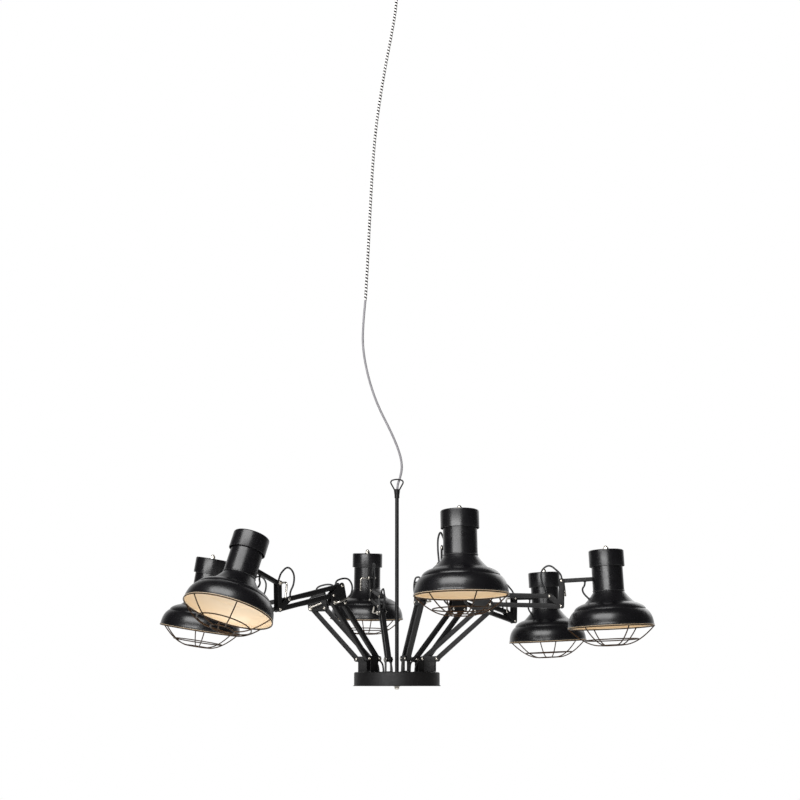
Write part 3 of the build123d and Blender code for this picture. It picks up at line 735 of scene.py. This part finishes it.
def ceiling_fitting():
    """Cup under the ceiling, its cord grip, and the plate that holds it."""
    foot = CEILING - CANOPY_HEIGHT
    cup = rounded([
        (CANOPY_RADIUS, CEILING, 0),
        (CANOPY_RADIUS, foot, CANOPY_EDGE),
        (SLEEVE_RADIUS, foot, 0),
        (SLEEVE_RADIUS, foot + CANOPY_WALL, 0),
        (CANOPY_RADIUS - CANOPY_WALL, foot + CANOPY_WALL, CANOPY_EDGE - CANOPY_WALL),
        (CANOPY_RADIUS - CANOPY_WALL, CEILING, 0),
    ])
    grip_foot = foot - GRIP_HEIGHT
    grip = rounded([
        (GRIP_RADIUS, foot, 0),
        (GRIP_RADIUS, grip_foot + GRIP_HEIGHT / 2, 0),
        (GRIP_RADIUS * 0.7, grip_foot, 0.001),
        (SLEEVE_RADIUS, grip_foot, 0),
        (SLEEVE_RADIUS, foot, 0),
    ])
    fixing = [
        (SLEEVE_RADIUS * 2, CEILING),
        (FIXING_RADIUS, CEILING),
        (FIXING_RADIUS, CEILING - FIXING_THICKNESS),
        (SLEEVE_RADIUS * 2, CEILING - FIXING_THICKNESS),
    ]
    cup = piece("ceiling_cup", [spun(cup)], black, "root", stands_for=["ceiling_fitting"])
    grip = piece("ceiling_cord_grip", [spun(grip, 48)], black, "root")
    fixing = piece("ceiling_plate", [spun(fixing)], nickel, "root")
    return cup, grip, fixing


fitting = ceiling_fitting()
grey_cord = cord("grey_supply_cord", CORD_ROUTE, CORD_RADIUS, grey_sheath)
cord("striped_cord_sleeve", SLEEVE_ROUTE, SLEEVE_RADIUS, textile)
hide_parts("supply_cord")


# Hub, stem and loop

def hub():
    """Pan, cover plate and its round nut, with the terminal block that stands inside."""
    seam = HUB_FOOT + PLATE_THICKNESS
    bore = STEM_RADIUS + 0.0003
    pan = rounded([
        (HUB_RADIUS, seam, 0),
        (HUB_RADIUS, HUB_TOP, HUB_EDGE),
        (bore, HUB_TOP, 0),
        (bore, HUB_TOP - HUB_ROOF, 0),
        (HUB_RADIUS - HUB_WALL, HUB_TOP - HUB_ROOF, HUB_EDGE - HUB_WALL),
        (HUB_RADIUS - HUB_WALL, seam, 0),
    ])
    cover = rounded([
        (PLATE_RADIUS, seam, 0.0005),
        (bore, seam, 0),
        (bore, HUB_FOOT, 0),
        (PLATE_RADIUS, HUB_FOOT, 0.0005),
    ])
    lowest = HUB_FOOT - FINIAL_HEIGHT
    collar = HUB_FOOT - 0.001
    finial = rounded([
        (0, HUB_FOOT, 0),
        (FINIAL_RADIUS * 1.3, HUB_FOOT, 0),
        (FINIAL_RADIUS * 1.3, collar, 0.0004),
        (FINIAL_RADIUS, collar, 0),
        (FINIAL_RADIUS, lowest, FINIAL_RADIUS * 0.7),
        (0, lowest, 0),
    ], closed=False)
    length, width, height = TERMINAL_SIZE
    block = rounded([
        (-length / 2, seam, 0.001),
        (length / 2, seam, 0.001),
        (length / 2, seam + height, 0.001),
        (-length / 2, seam + height, 0.001),
    ])
    block = plate(block, TERMINAL_OFFSET - width / 2, TERMINAL_OFFSET + width / 2, 0.0008)
    piece("hub_pan", [spun(pan, 160)], arm_black, "root", stands_for=["hub_housing"])
    piece("hub_cover_plate", [spun(cover, 160)], arm_black, "root", stands_for=["hub_base"])
    piece("hub_finial", [spun(finial, 48, closed=False)], nickel, "root")
    piece("terminal_block", [block], nylon, "root")


def stem():
    """Tube from the cover plate to the ferrule, and the nut that holds it under the hub's roof."""
    bore = STEM_RADIUS - 0.0011
    shaft = [(STEM_RADIUS, HUB_FOOT), (STEM_RADIUS, STEM_TOP), (bore, STEM_TOP), (bore, HUB_FOOT)]
    nut_top = HUB_TOP - HUB_ROOF
    nut = [
        (STEM_NUT_RADIUS, nut_top - STEM_NUT_HEIGHT),
        (STEM_NUT_RADIUS, nut_top),
        (STEM_RADIUS, nut_top),
        (STEM_RADIUS, nut_top - STEM_NUT_HEIGHT),
    ]
    piece("stem_tube", [spun(shaft, 48)], arm_black, "root", stands_for=["stem"])
    piece("stem_nut", [spun(nut, 6)], nickel, "root")


def hanging_loop():
    """Rounded three-cornered wire eye and the flared ferrule that it runs into."""
    corners = [
        (-LOOP_FOOT_SPREAD, 0, LOOP_FOOT, 0),
        (-LOOP_HALF_WIDTH, 0, LOOP_CORNER_RISE, 0.005),
        (0, 0, LOOP_CROWN_RISE, 0.024),
        (LOOP_HALF_WIDTH, 0, LOOP_CORNER_RISE, 0.005),
        (LOOP_FOOT_SPREAD, 0, LOOP_FOOT, 0),
    ]
    eye = tube(rounded(corners, closed=False, steps=12), LOOP_WIRE, sides=16)
    bore = STEM_RADIUS - 0.0011
    socket = STEM_RADIUS + 0.0001
    collar = rounded([
        (bore, FERRULE_TOP, 0),
        (FERRULE_FLARE, FERRULE_TOP, 0.0008),
        (FERRULE_FLARE, FERRULE_TOP - 2 * LOOP_WIRE, 0.002),
        (FERRULE_RADIUS, STEM_TOP, 0.002),
        (FERRULE_RADIUS, FERRULE_FOOT, 0.0004),
        (socket, FERRULE_FOOT, 0),
        (socket, STEM_TOP, 0),
        (bore, STEM_TOP, 0),
    ])
    piece("loop_wire", [eye], arm_black, "root", stands_for=["hanging_loop"])
    piece("loop_ferrule", [spun(collar, 48)], arm_black, "root")


hub()
stem()
hanging_loop()


# Arms

def read_arm(number):
    """An arm's own frame, +X outwards and Z up from its post's foot, and its pivots as (outward, up)."""
    across = -Vector(joints[f"shoulder_{number}"]["axis"]).normalized()
    up = Vector((0, 0, 1))
    out = across.cross(up)
    foot = Vector(joints[f"arm_swivel_{number}"]["pos_m"])

    def pivot(name):
        step = Vector(joints[f"{name}_{number}"]["pos_m"]) - foot
        return Vector((step.dot(out), step.dot(up)))

    arm = SimpleNamespace(number=number, foot=foot)
    arm.place = Matrix.Translation(foot) @ Matrix((out, across, up)).transposed().to_4x4()
    arm.post_inner, arm.post_outer = pivot("shoulder"), pivot("shoulder_outer")
    arm.elbow_inner, arm.elbow_high, arm.elbow_low = pivot("elbow_level"), pivot("upper_arm"), pivot("upper_arm_bottom")
    arm.elbow_outer = arm.elbow_inner + arm.post_outer - arm.post_inner
    arm.wrist_high, arm.head = pivot("wrist_level"), pivot("head_tilt")
    arm.wrist_low = arm.wrist_high + arm.elbow_low - arm.elbow_high
    arm.tilt = radians(LOWEST_TILT - joints[f"head_tilt_{number}"]["range_deg"][0])
    arm.head_out = Vector((cos(arm.tilt), sin(arm.tilt)))
    arm.head_up = Vector((-sin(arm.tilt), cos(arm.tilt)))
    arm.neck = arm.head + arm.head_out * HEAD_ARM_REACH
    neck = Matrix.Translation((arm.neck.x, 0, arm.neck.y))
    arm.head_place = arm.place @ neck @ Matrix.Rotation(-arm.tilt, 4, "Y")
    return arm


def cheek_pair(outline):
    """The same plate on both sides of the bars."""
    return [plate(outline, CHEEK_NEAR, CHEEK_FAR, CHEEK_EDGE), plate(outline, -CHEEK_FAR, -CHEEK_NEAR, CHEEK_EDGE)]


def pivot_screws(arm, name, pivots, body, bare=None):
    """Screw heads on both cheeks at each pivot, but for the one cheek that carries a lever."""
    spots = []
    for pivot in pivots:
        for side in (-1, 1):
            if side > 0 and pivot is bare:
                continue
            spots.append(((pivot.x, side * CHEEK_FAR, pivot.y), (0, side, 0)))
    heads = grow(screws, spots_mesh(spots), nickel, {"Head Radius": SCREW_RADIUS, "Head Rise": SCREW_RISE})
    piece(f"{name}_{arm.number}", [heads], nickel, body, at=arm.place)


def post(arm):
    """Swivelling fork on the hub, with its stud and nut under the hub's roof."""
    ear_foot, ear_top = arm.post_outer.y - POST_EAR, arm.post_outer.y + POST_EAR
    ear_out = arm.post_outer.x + POST_EAR
    outline = rounded([
        (-POST_HALF_WIDTH, POST_SEAT, 0.0008),
        (POST_HALF_WIDTH, POST_SEAT, 0.0008),
        (POST_HALF_WIDTH, ear_foot, 0.0015),
        (ear_out, ear_foot, POST_EAR * 0.98),
        (ear_out, ear_top, POST_EAR * 0.98),
        (-ear_out, ear_top, POST_EAR * 0.98),
        (-ear_out, ear_foot, POST_EAR * 0.98),
        (-POST_HALF_WIDTH, ear_foot, 0.0015),
    ])
    web = [
        Vector((-POST_HALF_WIDTH, POST_SEAT)),
        Vector((POST_HALF_WIDTH, POST_SEAT)),
        Vector((POST_HALF_WIDTH, POST_SEAT + POST_WEB)),
        Vector((-POST_HALF_WIDTH, POST_SEAT + POST_WEB)),
    ]
    number, body = arm.number, f"post_{arm.number}"
    shapes = cheek_pair(outline) + [plate(web, -CHEEK_NEAR, CHEEK_NEAR, CHEEK_EDGE / 2)]
    piece(f"post_fork_{number}", shapes, arm_black, body, at=arm.place, stands_for=[body])
    nut_top = -HUB_ROOF - POST_SEAT
    stud = [(0, POST_SEAT), (SWIVEL_RADIUS, POST_SEAT), (SWIVEL_RADIUS, nut_top), (0, nut_top)]
    nut_foot = nut_top - SWIVEL_NUT_HEIGHT
    nut = [(0, nut_top), (SWIVEL_NUT_RADIUS, nut_top), (SWIVEL_NUT_RADIUS, nut_foot), (0, nut_foot)]
    shapes = [spun(stud, 24, closed=False), spun(nut, 6, closed=False)]
    piece(f"post_stud_{number}", shapes, nickel, body, at=arm.place)
    pivot_screws(arm, "post_screws", (arm.post_inner, arm.post_outer), body)


def bars(arm):
    """The four square tubes of the two parallelograms."""
    runs = {
        "lower_bar_inner": (arm.post_inner, arm.elbow_inner),
        "lower_bar_outer": (arm.post_outer, arm.elbow_outer),
        "upper_bar_top": (arm.elbow_high, arm.wrist_high),
        "upper_bar_bottom": (arm.elbow_low, arm.wrist_low),
    }
    for name, ends in runs.items():
        body = f"{name}_{arm.number}"
        shape = plate(ribbon(ends, BAR_HALF), -BAR_HALF, BAR_HALF, BAR_EDGE)
        piece(f"{name}_tube_{arm.number}", [shape], arm_black, body, arm.place, stands_for=[body])


def lever(arm, name, pivot, reach, slope, body):
    """Bent clamp lever: a boss on the cheek, a rod out to the side, and the rod's end as a handle."""
    angle = radians(slope)
    corner = Vector((pivot.x, CHEEK_FAR + reach, pivot.y))
    end = corner + Vector((cos(angle), 0, sin(angle))) * LEVER_HANDLE
    line = rounded([(pivot.x, CHEEK_FAR, pivot.y, 0), (*corner, LEVER_BEND), (*end, 0)], closed=False, steps=10)
    boss = rounded([
        (0, 0, 0),
        (LEVER_BOSS_RADIUS, 0, 0),
        (LEVER_BOSS_RADIUS, LEVER_BOSS_HEIGHT, 0.0008),
        (0, LEVER_BOSS_HEIGHT, 0),
    ], closed=False)
    boss = moved(spun(boss, 32, closed=False), along_y((pivot.x, CHEEK_FAR, pivot.y)))
    piece(f"{name}_{arm.number}", [tube(line, LEVER_RADIUS, dome=5), boss], nickel, body, at=arm.place)


def elbow_bracket(arm):
    """Two cheeks that run round four pivots, and the lever that clamps them."""
    number, body = arm.number, f"elbow_{arm.number}"
    pivots = (arm.elbow_inner, arm.elbow_outer, arm.elbow_low, arm.elbow_high)
    shapes = cheek_pair(hull(pivots, ELBOW_EDGE))
    node = f"elbow_bracket_{number}"
    piece(f"elbow_cheeks_{number}", shapes, arm_black, body, at=arm.place, stands_for=[node])
    pivot_screws(arm, "elbow_screws", pivots, body, bare=arm.elbow_outer)
    lever(arm, "elbow_lever", arm.elbow_outer, ELBOW_REACH, ELBOW_SLOPE, body)


def wrist_bracket(arm):
    """Two bent strips from the upper bars up to the head's pivot, and the lever that clamps it."""
    number, body = arm.number, f"wrist_{arm.number}"
    pivots = (arm.wrist_high, arm.wrist_low, arm.head)
    node = f"wrist_bracket_{number}"
    shapes = cheek_pair(ribbon(pivots, WRIST_EDGE))
    piece(f"wrist_cheeks_{number}", shapes, arm_black, body, at=arm.place, stands_for=[node])
    pivot_screws(arm, "wrist_screws", pivots, body, bare=arm.head)
    lever(arm, "wrist_lever", arm.head, WRIST_REACH, WRIST_SLOPE, body)


# Lamp head, made once about its own axis and copied to the six arms

def shade_line():
    """The spun shade's outer line: neck, its bead, concave flare, shoulder, step, bell and rim."""
    bead = 0.0016
    line = [Vector((NECK_RADIUS, CAP_TOP - CAP_WALL))]
    line += arc((NECK_RADIUS - bead / 3, NECK_FOOT + bead), bead, radians(62), radians(-62))
    line += bow((NECK_RADIUS, NECK_FOOT), (0.0382, -0.0390), (FLARE_RADIUS, FLARE_FOOT))
    line += bow((FLARE_RADIUS, FLARE_FOOT), (0.0664, -0.0536), (SHOULDER_RADIUS, SHOULDER_FOOT))[1:]
    line += [Vector((SHOULDER_RADIUS - 0.0001, SHOULDER_FOOT - 0.0013))]
    line += bow((STEP_RADIUS, STEP_FOOT), (0.0834, -0.0735), (RIM_RADIUS - 0.0006, RIM_FOOT + 0.003), steps=20)
    return line


def inset(line, distance):
    """The same line, moved in towards the shade's axis by a sheet's thickness."""
    moved_in = []
    for index, point in enumerate(line):
        way = line[min(index + 1, len(line) - 1)] - line[max(index - 1, 0)]
        way.normalize()
        moved_in.append(point + Vector((way.y, -way.x)) * distance)
    return moved_in


def lamp_shapes():
    """Every shape of a lamp head, by the name of its piece."""
    outer = shade_line()
    roll_centre = (RIM_RADIUS - RIM_ROLL, RIM_FOOT + RIM_ROLL)
    roll = arc(roll_centre, RIM_ROLL, radians(60), radians(-180), steps=14)
    made = {"shade_spinning": [spun(outer + roll + inset(outer, SHEET)[::-1], 144)]}
    start = next(index for index, point in enumerate(outer) if point.y < NECK_FOOT)
    inside = outer[start:]
    lining = inset(inside, SHEET * 2)
    # The enamel runs on round the roll, and its painted glow shows under it as a thin warm line
    lining += arc(roll_centre, RIM_ROLL + ENAMEL, radians(100), radians(335), steps=16)
    lining += arc(roll_centre, RIM_ROLL - ENAMEL, radians(335), radians(100), steps=16)
    made["shade_lining"] = [spun(lining + inset(inside, SHEET * 1.1)[::-1], 144)]
    inner_edge = CAP_EDGE - CAP_WALL
    made["neck_cap"] = [spun(rounded([
        (CAP_RADIUS, CAP_FOOT, 0.0004),
        (CAP_RADIUS, CAP_TOP, CAP_EDGE),
        (0.001, CAP_TOP, 0),
        (0.001, CAP_TOP - CAP_WALL, 0),
        (CAP_RADIUS - CAP_WALL, CAP_TOP - CAP_WALL, inner_edge),
        (CAP_RADIUS - CAP_WALL, CAP_FOOT, 0.0004),
    ]), 128)]
    washer_top = CAP_TOP + 0.001
    washer = [(0, CAP_TOP), (NUT_RADIUS * 1.25, CAP_TOP), (NUT_RADIUS * 1.25, washer_top), (0, washer_top)]
    hexagon_top = washer_top + NUT_HEIGHT
    hexagon = [(0, washer_top), (NUT_RADIUS, washer_top), (NUT_RADIUS, hexagon_top), (0, hexagon_top)]
    dome = arc((0, hexagon_top), NUT_RADIUS * 0.8, 0, pi / 2)
    crown = [(0, washer_top), (NUT_RADIUS * 0.8, washer_top), *dome]
    made["cap_nut"] = [spun(washer, 32, False), spun(hexagon, 6, False), spun(crown, 32, False)]
    ridge = 0.0012
    holder = [(BULB_CAP_RADIUS, CAP_TOP - CAP_WALL)]
    holder += [(HOLDER_RADIUS - ridge, CAP_TOP - CAP_WALL), (HOLDER_RADIUS - ridge, 0.012)]
    holder += rounded([
        (HOLDER_RADIUS - ridge, 0.008, 0),
        (HOLDER_RADIUS, 0.007, 0.0004),
        (HOLDER_RADIUS, HOLDER_FOOT, 0.0012),
        (BULB_CAP_RADIUS + 0.0003, HOLDER_FOOT, 0.0006),
    ], closed=False)[:-1]
    made["lamp_holder"] = [spun(holder, 64)]
    belt = BULB_FOOT + BULB_RADIUS
    glass = [Vector((0, BULB_CAP_TOP)), Vector((BULB_CAP_RADIUS * 0.96, BULB_CAP_TOP))]
    glass += [Vector((BULB_CAP_RADIUS * 0.96, HOLDER_FOOT))]
    start = asin((HOLDER_FOOT - 0.006 - belt) / BULB_RADIUS)
    glass += arc((0, belt), BULB_RADIUS, start, -pi / 2, steps=20)
    made["opal_bulb"] = [spun(glass, 64, closed=False)]
    return made


def cage_shape():
    """The wire cage under the rim."""
    sizes = {
        "Rim Radius": RIM_RADIUS - 0.0005, "Rim Height": RIM_FOOT - CAGE_WIRE,
        "Middle Radius": 0.0521, "Middle Height": RIM_FOOT - 0.0254,
        "End Radius": 0.023, "End Height": RIM_FOOT - 0.036,
        "Knee Radius": 0.052, "Knee Height": RIM_FOOT - 0.0355,
        "Wire Radius": CAGE_WIRE, "Ribs": CAGE_RIBS,
    }
    return grow(cages, spots_mesh([((0, 0, 0), (0, 0, 1))]), wire, sizes)


def head_arm(arm):
    """Square bar from the head's pivot to the neck."""
    round_end = arc(arm.head, HEAD_ARM_HALF, arm.tilt + pi / 2, arm.tilt + 3 * pi / 2, steps=14)
    seat = arm.neck - arm.head_out * (NECK_RADIUS - SHEET)
    side = arm.head_up * HEAD_ARM_HALF
    return plate(round_end + [seat - side, seat + side], -HEAD_ARM_HALF, HEAD_ARM_HALF, BAR_EDGE)


HEAD_FINISHES = {
    "shade_spinning": (black, "satin_black"),
    "shade_lining": (enamel_with_painted_glow, None),
    "neck_cap": (black, "satin_black"),
    "cap_nut": (nickel, None),
    "lamp_holder": (bakelite, None),
    "opal_bulb": (opal, None),
    "wire_cage": (wire, "black_wire"),
}


def lamp_head(arm, shapes):
    """Shade, lining, cap, nut, holder, bulb and cage on one axis, and the bar that carries them."""
    number, body = arm.number, f"lamp_{arm.number}"
    for name, parts in shapes.items():
        finish, slot = HEAD_FINISHES[name]
        replaced = [f"lamp_head_{number}"] if name == "shade_spinning" else []
        piece(f"{name}_{number}", parts, finish, body, at=arm.head_place, stands_for=replaced)
    piece(f"head_arm_{number}", [head_arm(arm)], arm_black, body, at=arm.place)


# Leads

def above_bar(pivot, along, distance):
    """Where a lead leaves a bar's upper face, just inside it, and a point straight up from there."""
    up = Vector((-along.y, along.x))
    start = pivot + along * distance + up * (BAR_HALF - LEAD_SINK)
    return start, start + up * (LEAD_STRAIGHT + LEAD_SINK)


def clear_of(pivot, angle):
    """Where a lead meets a bar's round end, just inside it, and a point straight out from there."""
    way = Vector((cos(radians(angle)), sin(radians(angle))))
    return pivot + way * (BAR_HALF - LEAD_SINK), pivot + way * (BAR_HALF + LEAD_STRAIGHT)


def in_plane(points):
    """Points of an arm's plane in its own frame."""
    return [Vector((point.x, 0, point.y)) for point in points]


def lead(arm, name, line, bodies):
    """One free stretch of lead, on one body, or on no body where it spans the joint between two."""
    line = [arm.place @ point for point in line]
    body = bodies[0] if len(bodies) == 1 else None
    made = piece(f"{name}_{arm.number}", [tube(line, LEAD_RADIUS)], sheath, body)
    if len(bodies) == 2:
        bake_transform(made)
    length = lengths_along(line)[-1]
    return made


def halves(line):
    """A line in two, cut at the point nearest its middle."""
    along = lengths_along(line)
    middle = min(range(len(line)), key=lambda index: abs(along[index] - along[-1] / 2))
    return line[:middle + 1], line[middle:]


def leads(arm):
    """The stretches of lead that show: at the hub, over the elbow, over the wrist and at the neck."""
    number = arm.number
    lower, elbow, upper = f"lower_bar_inner_{number}", f"elbow_{number}", f"upper_bar_top_{number}"
    wrist, lamp = f"wrist_{number}", f"lamp_{number}"
    hole = arm.foot * (LEAD_HOLE_RING / POST_RING)
    hole.z = arm.foot.z
    hole = arm.place.inverted() @ hole
    end, straight = clear_of(arm.post_inner, FOOT_LEAD_ANGLE)
    rise = [hole - Vector((0, 0, FOOT_LEAD_DEPTH)), hole + Vector((0, 0, FOOT_LEAD_RISE))]
    foot_line = route_line(rise + in_plane([straight, end]))
    made = lead(arm, "foot_lead", foot_line, ("root", f"post_{number}"))
    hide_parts(f"arm_lead_{number}")

    upper_way = (arm.wrist_high - arm.elbow_high).normalized()
    start, up = above_bar(arm.elbow_high, upper_way, ELBOW_LEAD_OUT)
    end, straight = clear_of(arm.elbow_inner, ELBOW_LEAD_ANGLE)
    middle = [arm.elbow_high + Vector(step) for step in ELBOW_LEAD_STEPS]
    elbow_line = route_line(in_plane([start, up, *middle, straight, end]))
    first, second = halves(elbow_line)
    lead(arm, "elbow_lead_upper", first, (upper, elbow))
    lead(arm, "elbow_lead_lower", second[::-1], (lower, elbow))

    start, up = above_bar(arm.head, arm.head_out, 0)
    end, straight = above_bar(arm.wrist_high, upper_way, -WRIST_LEAD_IN)
    middle = [arm.head + Vector(step) for step in WRIST_LEAD_STEPS]
    wrist_line = route_line(in_plane([start, up, *middle, straight, end]))
    first, second = halves(wrist_line)
    lead(arm, "wrist_lead_head", first, (lamp, wrist))
    lead(arm, "wrist_lead_bar", second[::-1], (upper, wrist))

    steps = [arm.neck - arm.head_out * inward + arm.head_up * up for inward, up in NECK_LEAD_STEPS]
    neck_line = route_line(in_plane(steps))
    lead(arm, "neck_lead", neck_line, (lamp,))

    holes = {lower: [], upper: [], lamp: []}
    for body, line in ((lower, foot_line[::-1]), (lower, elbow_line[::-1]), (upper, elbow_line),
                       (upper, wrist_line[::-1]), (lamp, wrist_line), (lamp, neck_line), (lamp, neck_line[::-1])):
        way = (line[1] - line[0]).normalized()
        holes[body].append((line[0] + way * LEAD_SINK, way))
    for body, spots in holes.items():
        rings = grow(grommets, spots_mesh(spots), rubber, {"Ring Radius": GROMMET_RING, "Thickness": GROMMET_THICKNESS})
        piece(f"grommets_{body}", [rings], rubber, body, at=arm.place)
    return hole


def whole_arm(number, shapes):
    arm = read_arm(number)
    post(arm)
    bars(arm)
    elbow_bracket(arm)
    wrist_bracket(arm)
    lamp_head(arm, shapes)
    return arm.place @ leads(arm)


head_shapes = lamp_shapes()
head_shapes["wire_cage"] = [cage_shape()]
hub_holes = [(whole_arm(number, head_shapes), (0, 0, 1)) for number in ARMS]
hub_rings = grow(grommets, spots_mesh(hub_holes), rubber, {"Ring Radius": 0.0032, "Thickness": 0.0011})
piece("hub_grommets", [hub_rings], rubber, "root")


# Floor, light and camera

FILL_LEVEL = 0.22
ROOM_LEVEL = 0.06


def floor():
    """A wide pale floor under the light, which keeps its shadow."""
    material, tree, shader = new_finish("studio_floor", "#efefed", Roughness=0.8)
    rays = add(tree, "ShaderNodeLightPath")
    seen = add(tree, "ShaderNodeMath", {0: rays.outputs["Is Camera Ray"], 1: rays.outputs["Is Glossy Ray"]})
    seen = add(tree, "ShaderNodeMath", {0: seen.outputs[0], 1: rays.outputs["Is Transmission Ray"]}, use_clamp=True)
    lift = add(tree, "ShaderNodeMath", {0: seen.outputs[0], 1: 0.3}, operation="MULTIPLY")
    shader.inputs["Emission Color"].default_value = linear("#ffffff")
    tree.links.new(lift.outputs[0], shader.inputs["Emission Strength"])
    mesh = bpy.data.meshes.new("studio_floor")
    reach, height = 8.0, -1.3
    corners = [(-reach, -reach, height), (reach, -reach, height), (reach, reach, height), (-reach, reach, height)]
    mesh.from_pydata(corners, [], [(0, 1, 2, 3)])
    mesh.materials.append(material)
    made = bpy.data.objects.new("studio_floor", mesh)
    bpy.context.scene.collection.objects.link(made)


def surroundings():
    """A white wall behind the light, a dim room in front of it, and an even soft fill."""
    world = bpy.data.worlds.new("studio")
    bpy.context.scene.world = world
    world.use_nodes = True
    tree = world.node_tree
    background = tree.nodes["Background"]
    way = add(tree, "ShaderNodeTexCoord").outputs["Generated"]
    way = add(tree, "ShaderNodeSeparateXYZ", {0: way})
    wall = {"Value": way.outputs["Y"], "From Min": 0.5, "From Max": 0.95, "To Min": ROOM_LEVEL}
    wall = add(tree, "ShaderNodeMapRange", wall)
    rays = add(tree, "ShaderNodeLightPath")
    seen = add(tree, "ShaderNodeMath", {0: rays.outputs["Is Camera Ray"], 1: rays.outputs["Is Transmission Ray"]}, use_clamp=True)
    level = add(tree, "ShaderNodeMapRange", {"Value": seen.outputs[0], "To Min": FILL_LEVEL})
    level = {"Factor": rays.outputs["Is Glossy Ray"], "A": level.outputs[0], "B": wall.outputs[0]}
    level = add(tree, "ShaderNodeMix", level)
    tree.links.new(level.outputs[0], background.inputs["Strength"])
    background.inputs["Color"].default_value = linear("#ffffff")


def softbox(name, place, aim, width, height, power):
    """A rectangular soft light that shines on a point."""
    light = bpy.data.lights.new(name, "AREA")
    light.shape = "RECTANGLE"
    light.size, light.size_y = width, height
    light.energy = power
    holder = bpy.data.objects.new(name, light)
    way = Vector(aim) - Vector(place)
    holder.matrix_world = Matrix.Translation(place) @ way.to_track_quat("-Z", "Y").to_matrix().to_4x4()
    holder.visible_camera = False
    bpy.context.scene.collection.objects.link(holder)


def camera():
    lens = bpy.data.cameras.new("camera")
    lens.lens = CAMERA_LENS
    lens.sensor_width = SENSOR_WIDTH
    holder = bpy.data.objects.new("camera", lens)
    holder.location = CAMERA_PLACE
    holder.rotation_euler = (radians(CAMERA_TIP), 0, 0)
    bpy.context.scene.collection.objects.link(holder)
    bpy.context.scene.camera = holder


floor()
surroundings()
softbox("front_softbox", (-1.13, -2.77, 0.02), (0, -0.1, -0.2), 3.0, 0.7, 54)
softbox("key_softbox", (-0.73, -1.82, 1.6), (0, -0.1, -0.2), 2.4, 1.4, 60)
softbox("back_softbox", (1.7, 2.2, 1.1), (0, 0, -0.2), 1.8, 1.4, 9)
camera()
bpy.context.scene.view_settings.view_transform = "Standard"
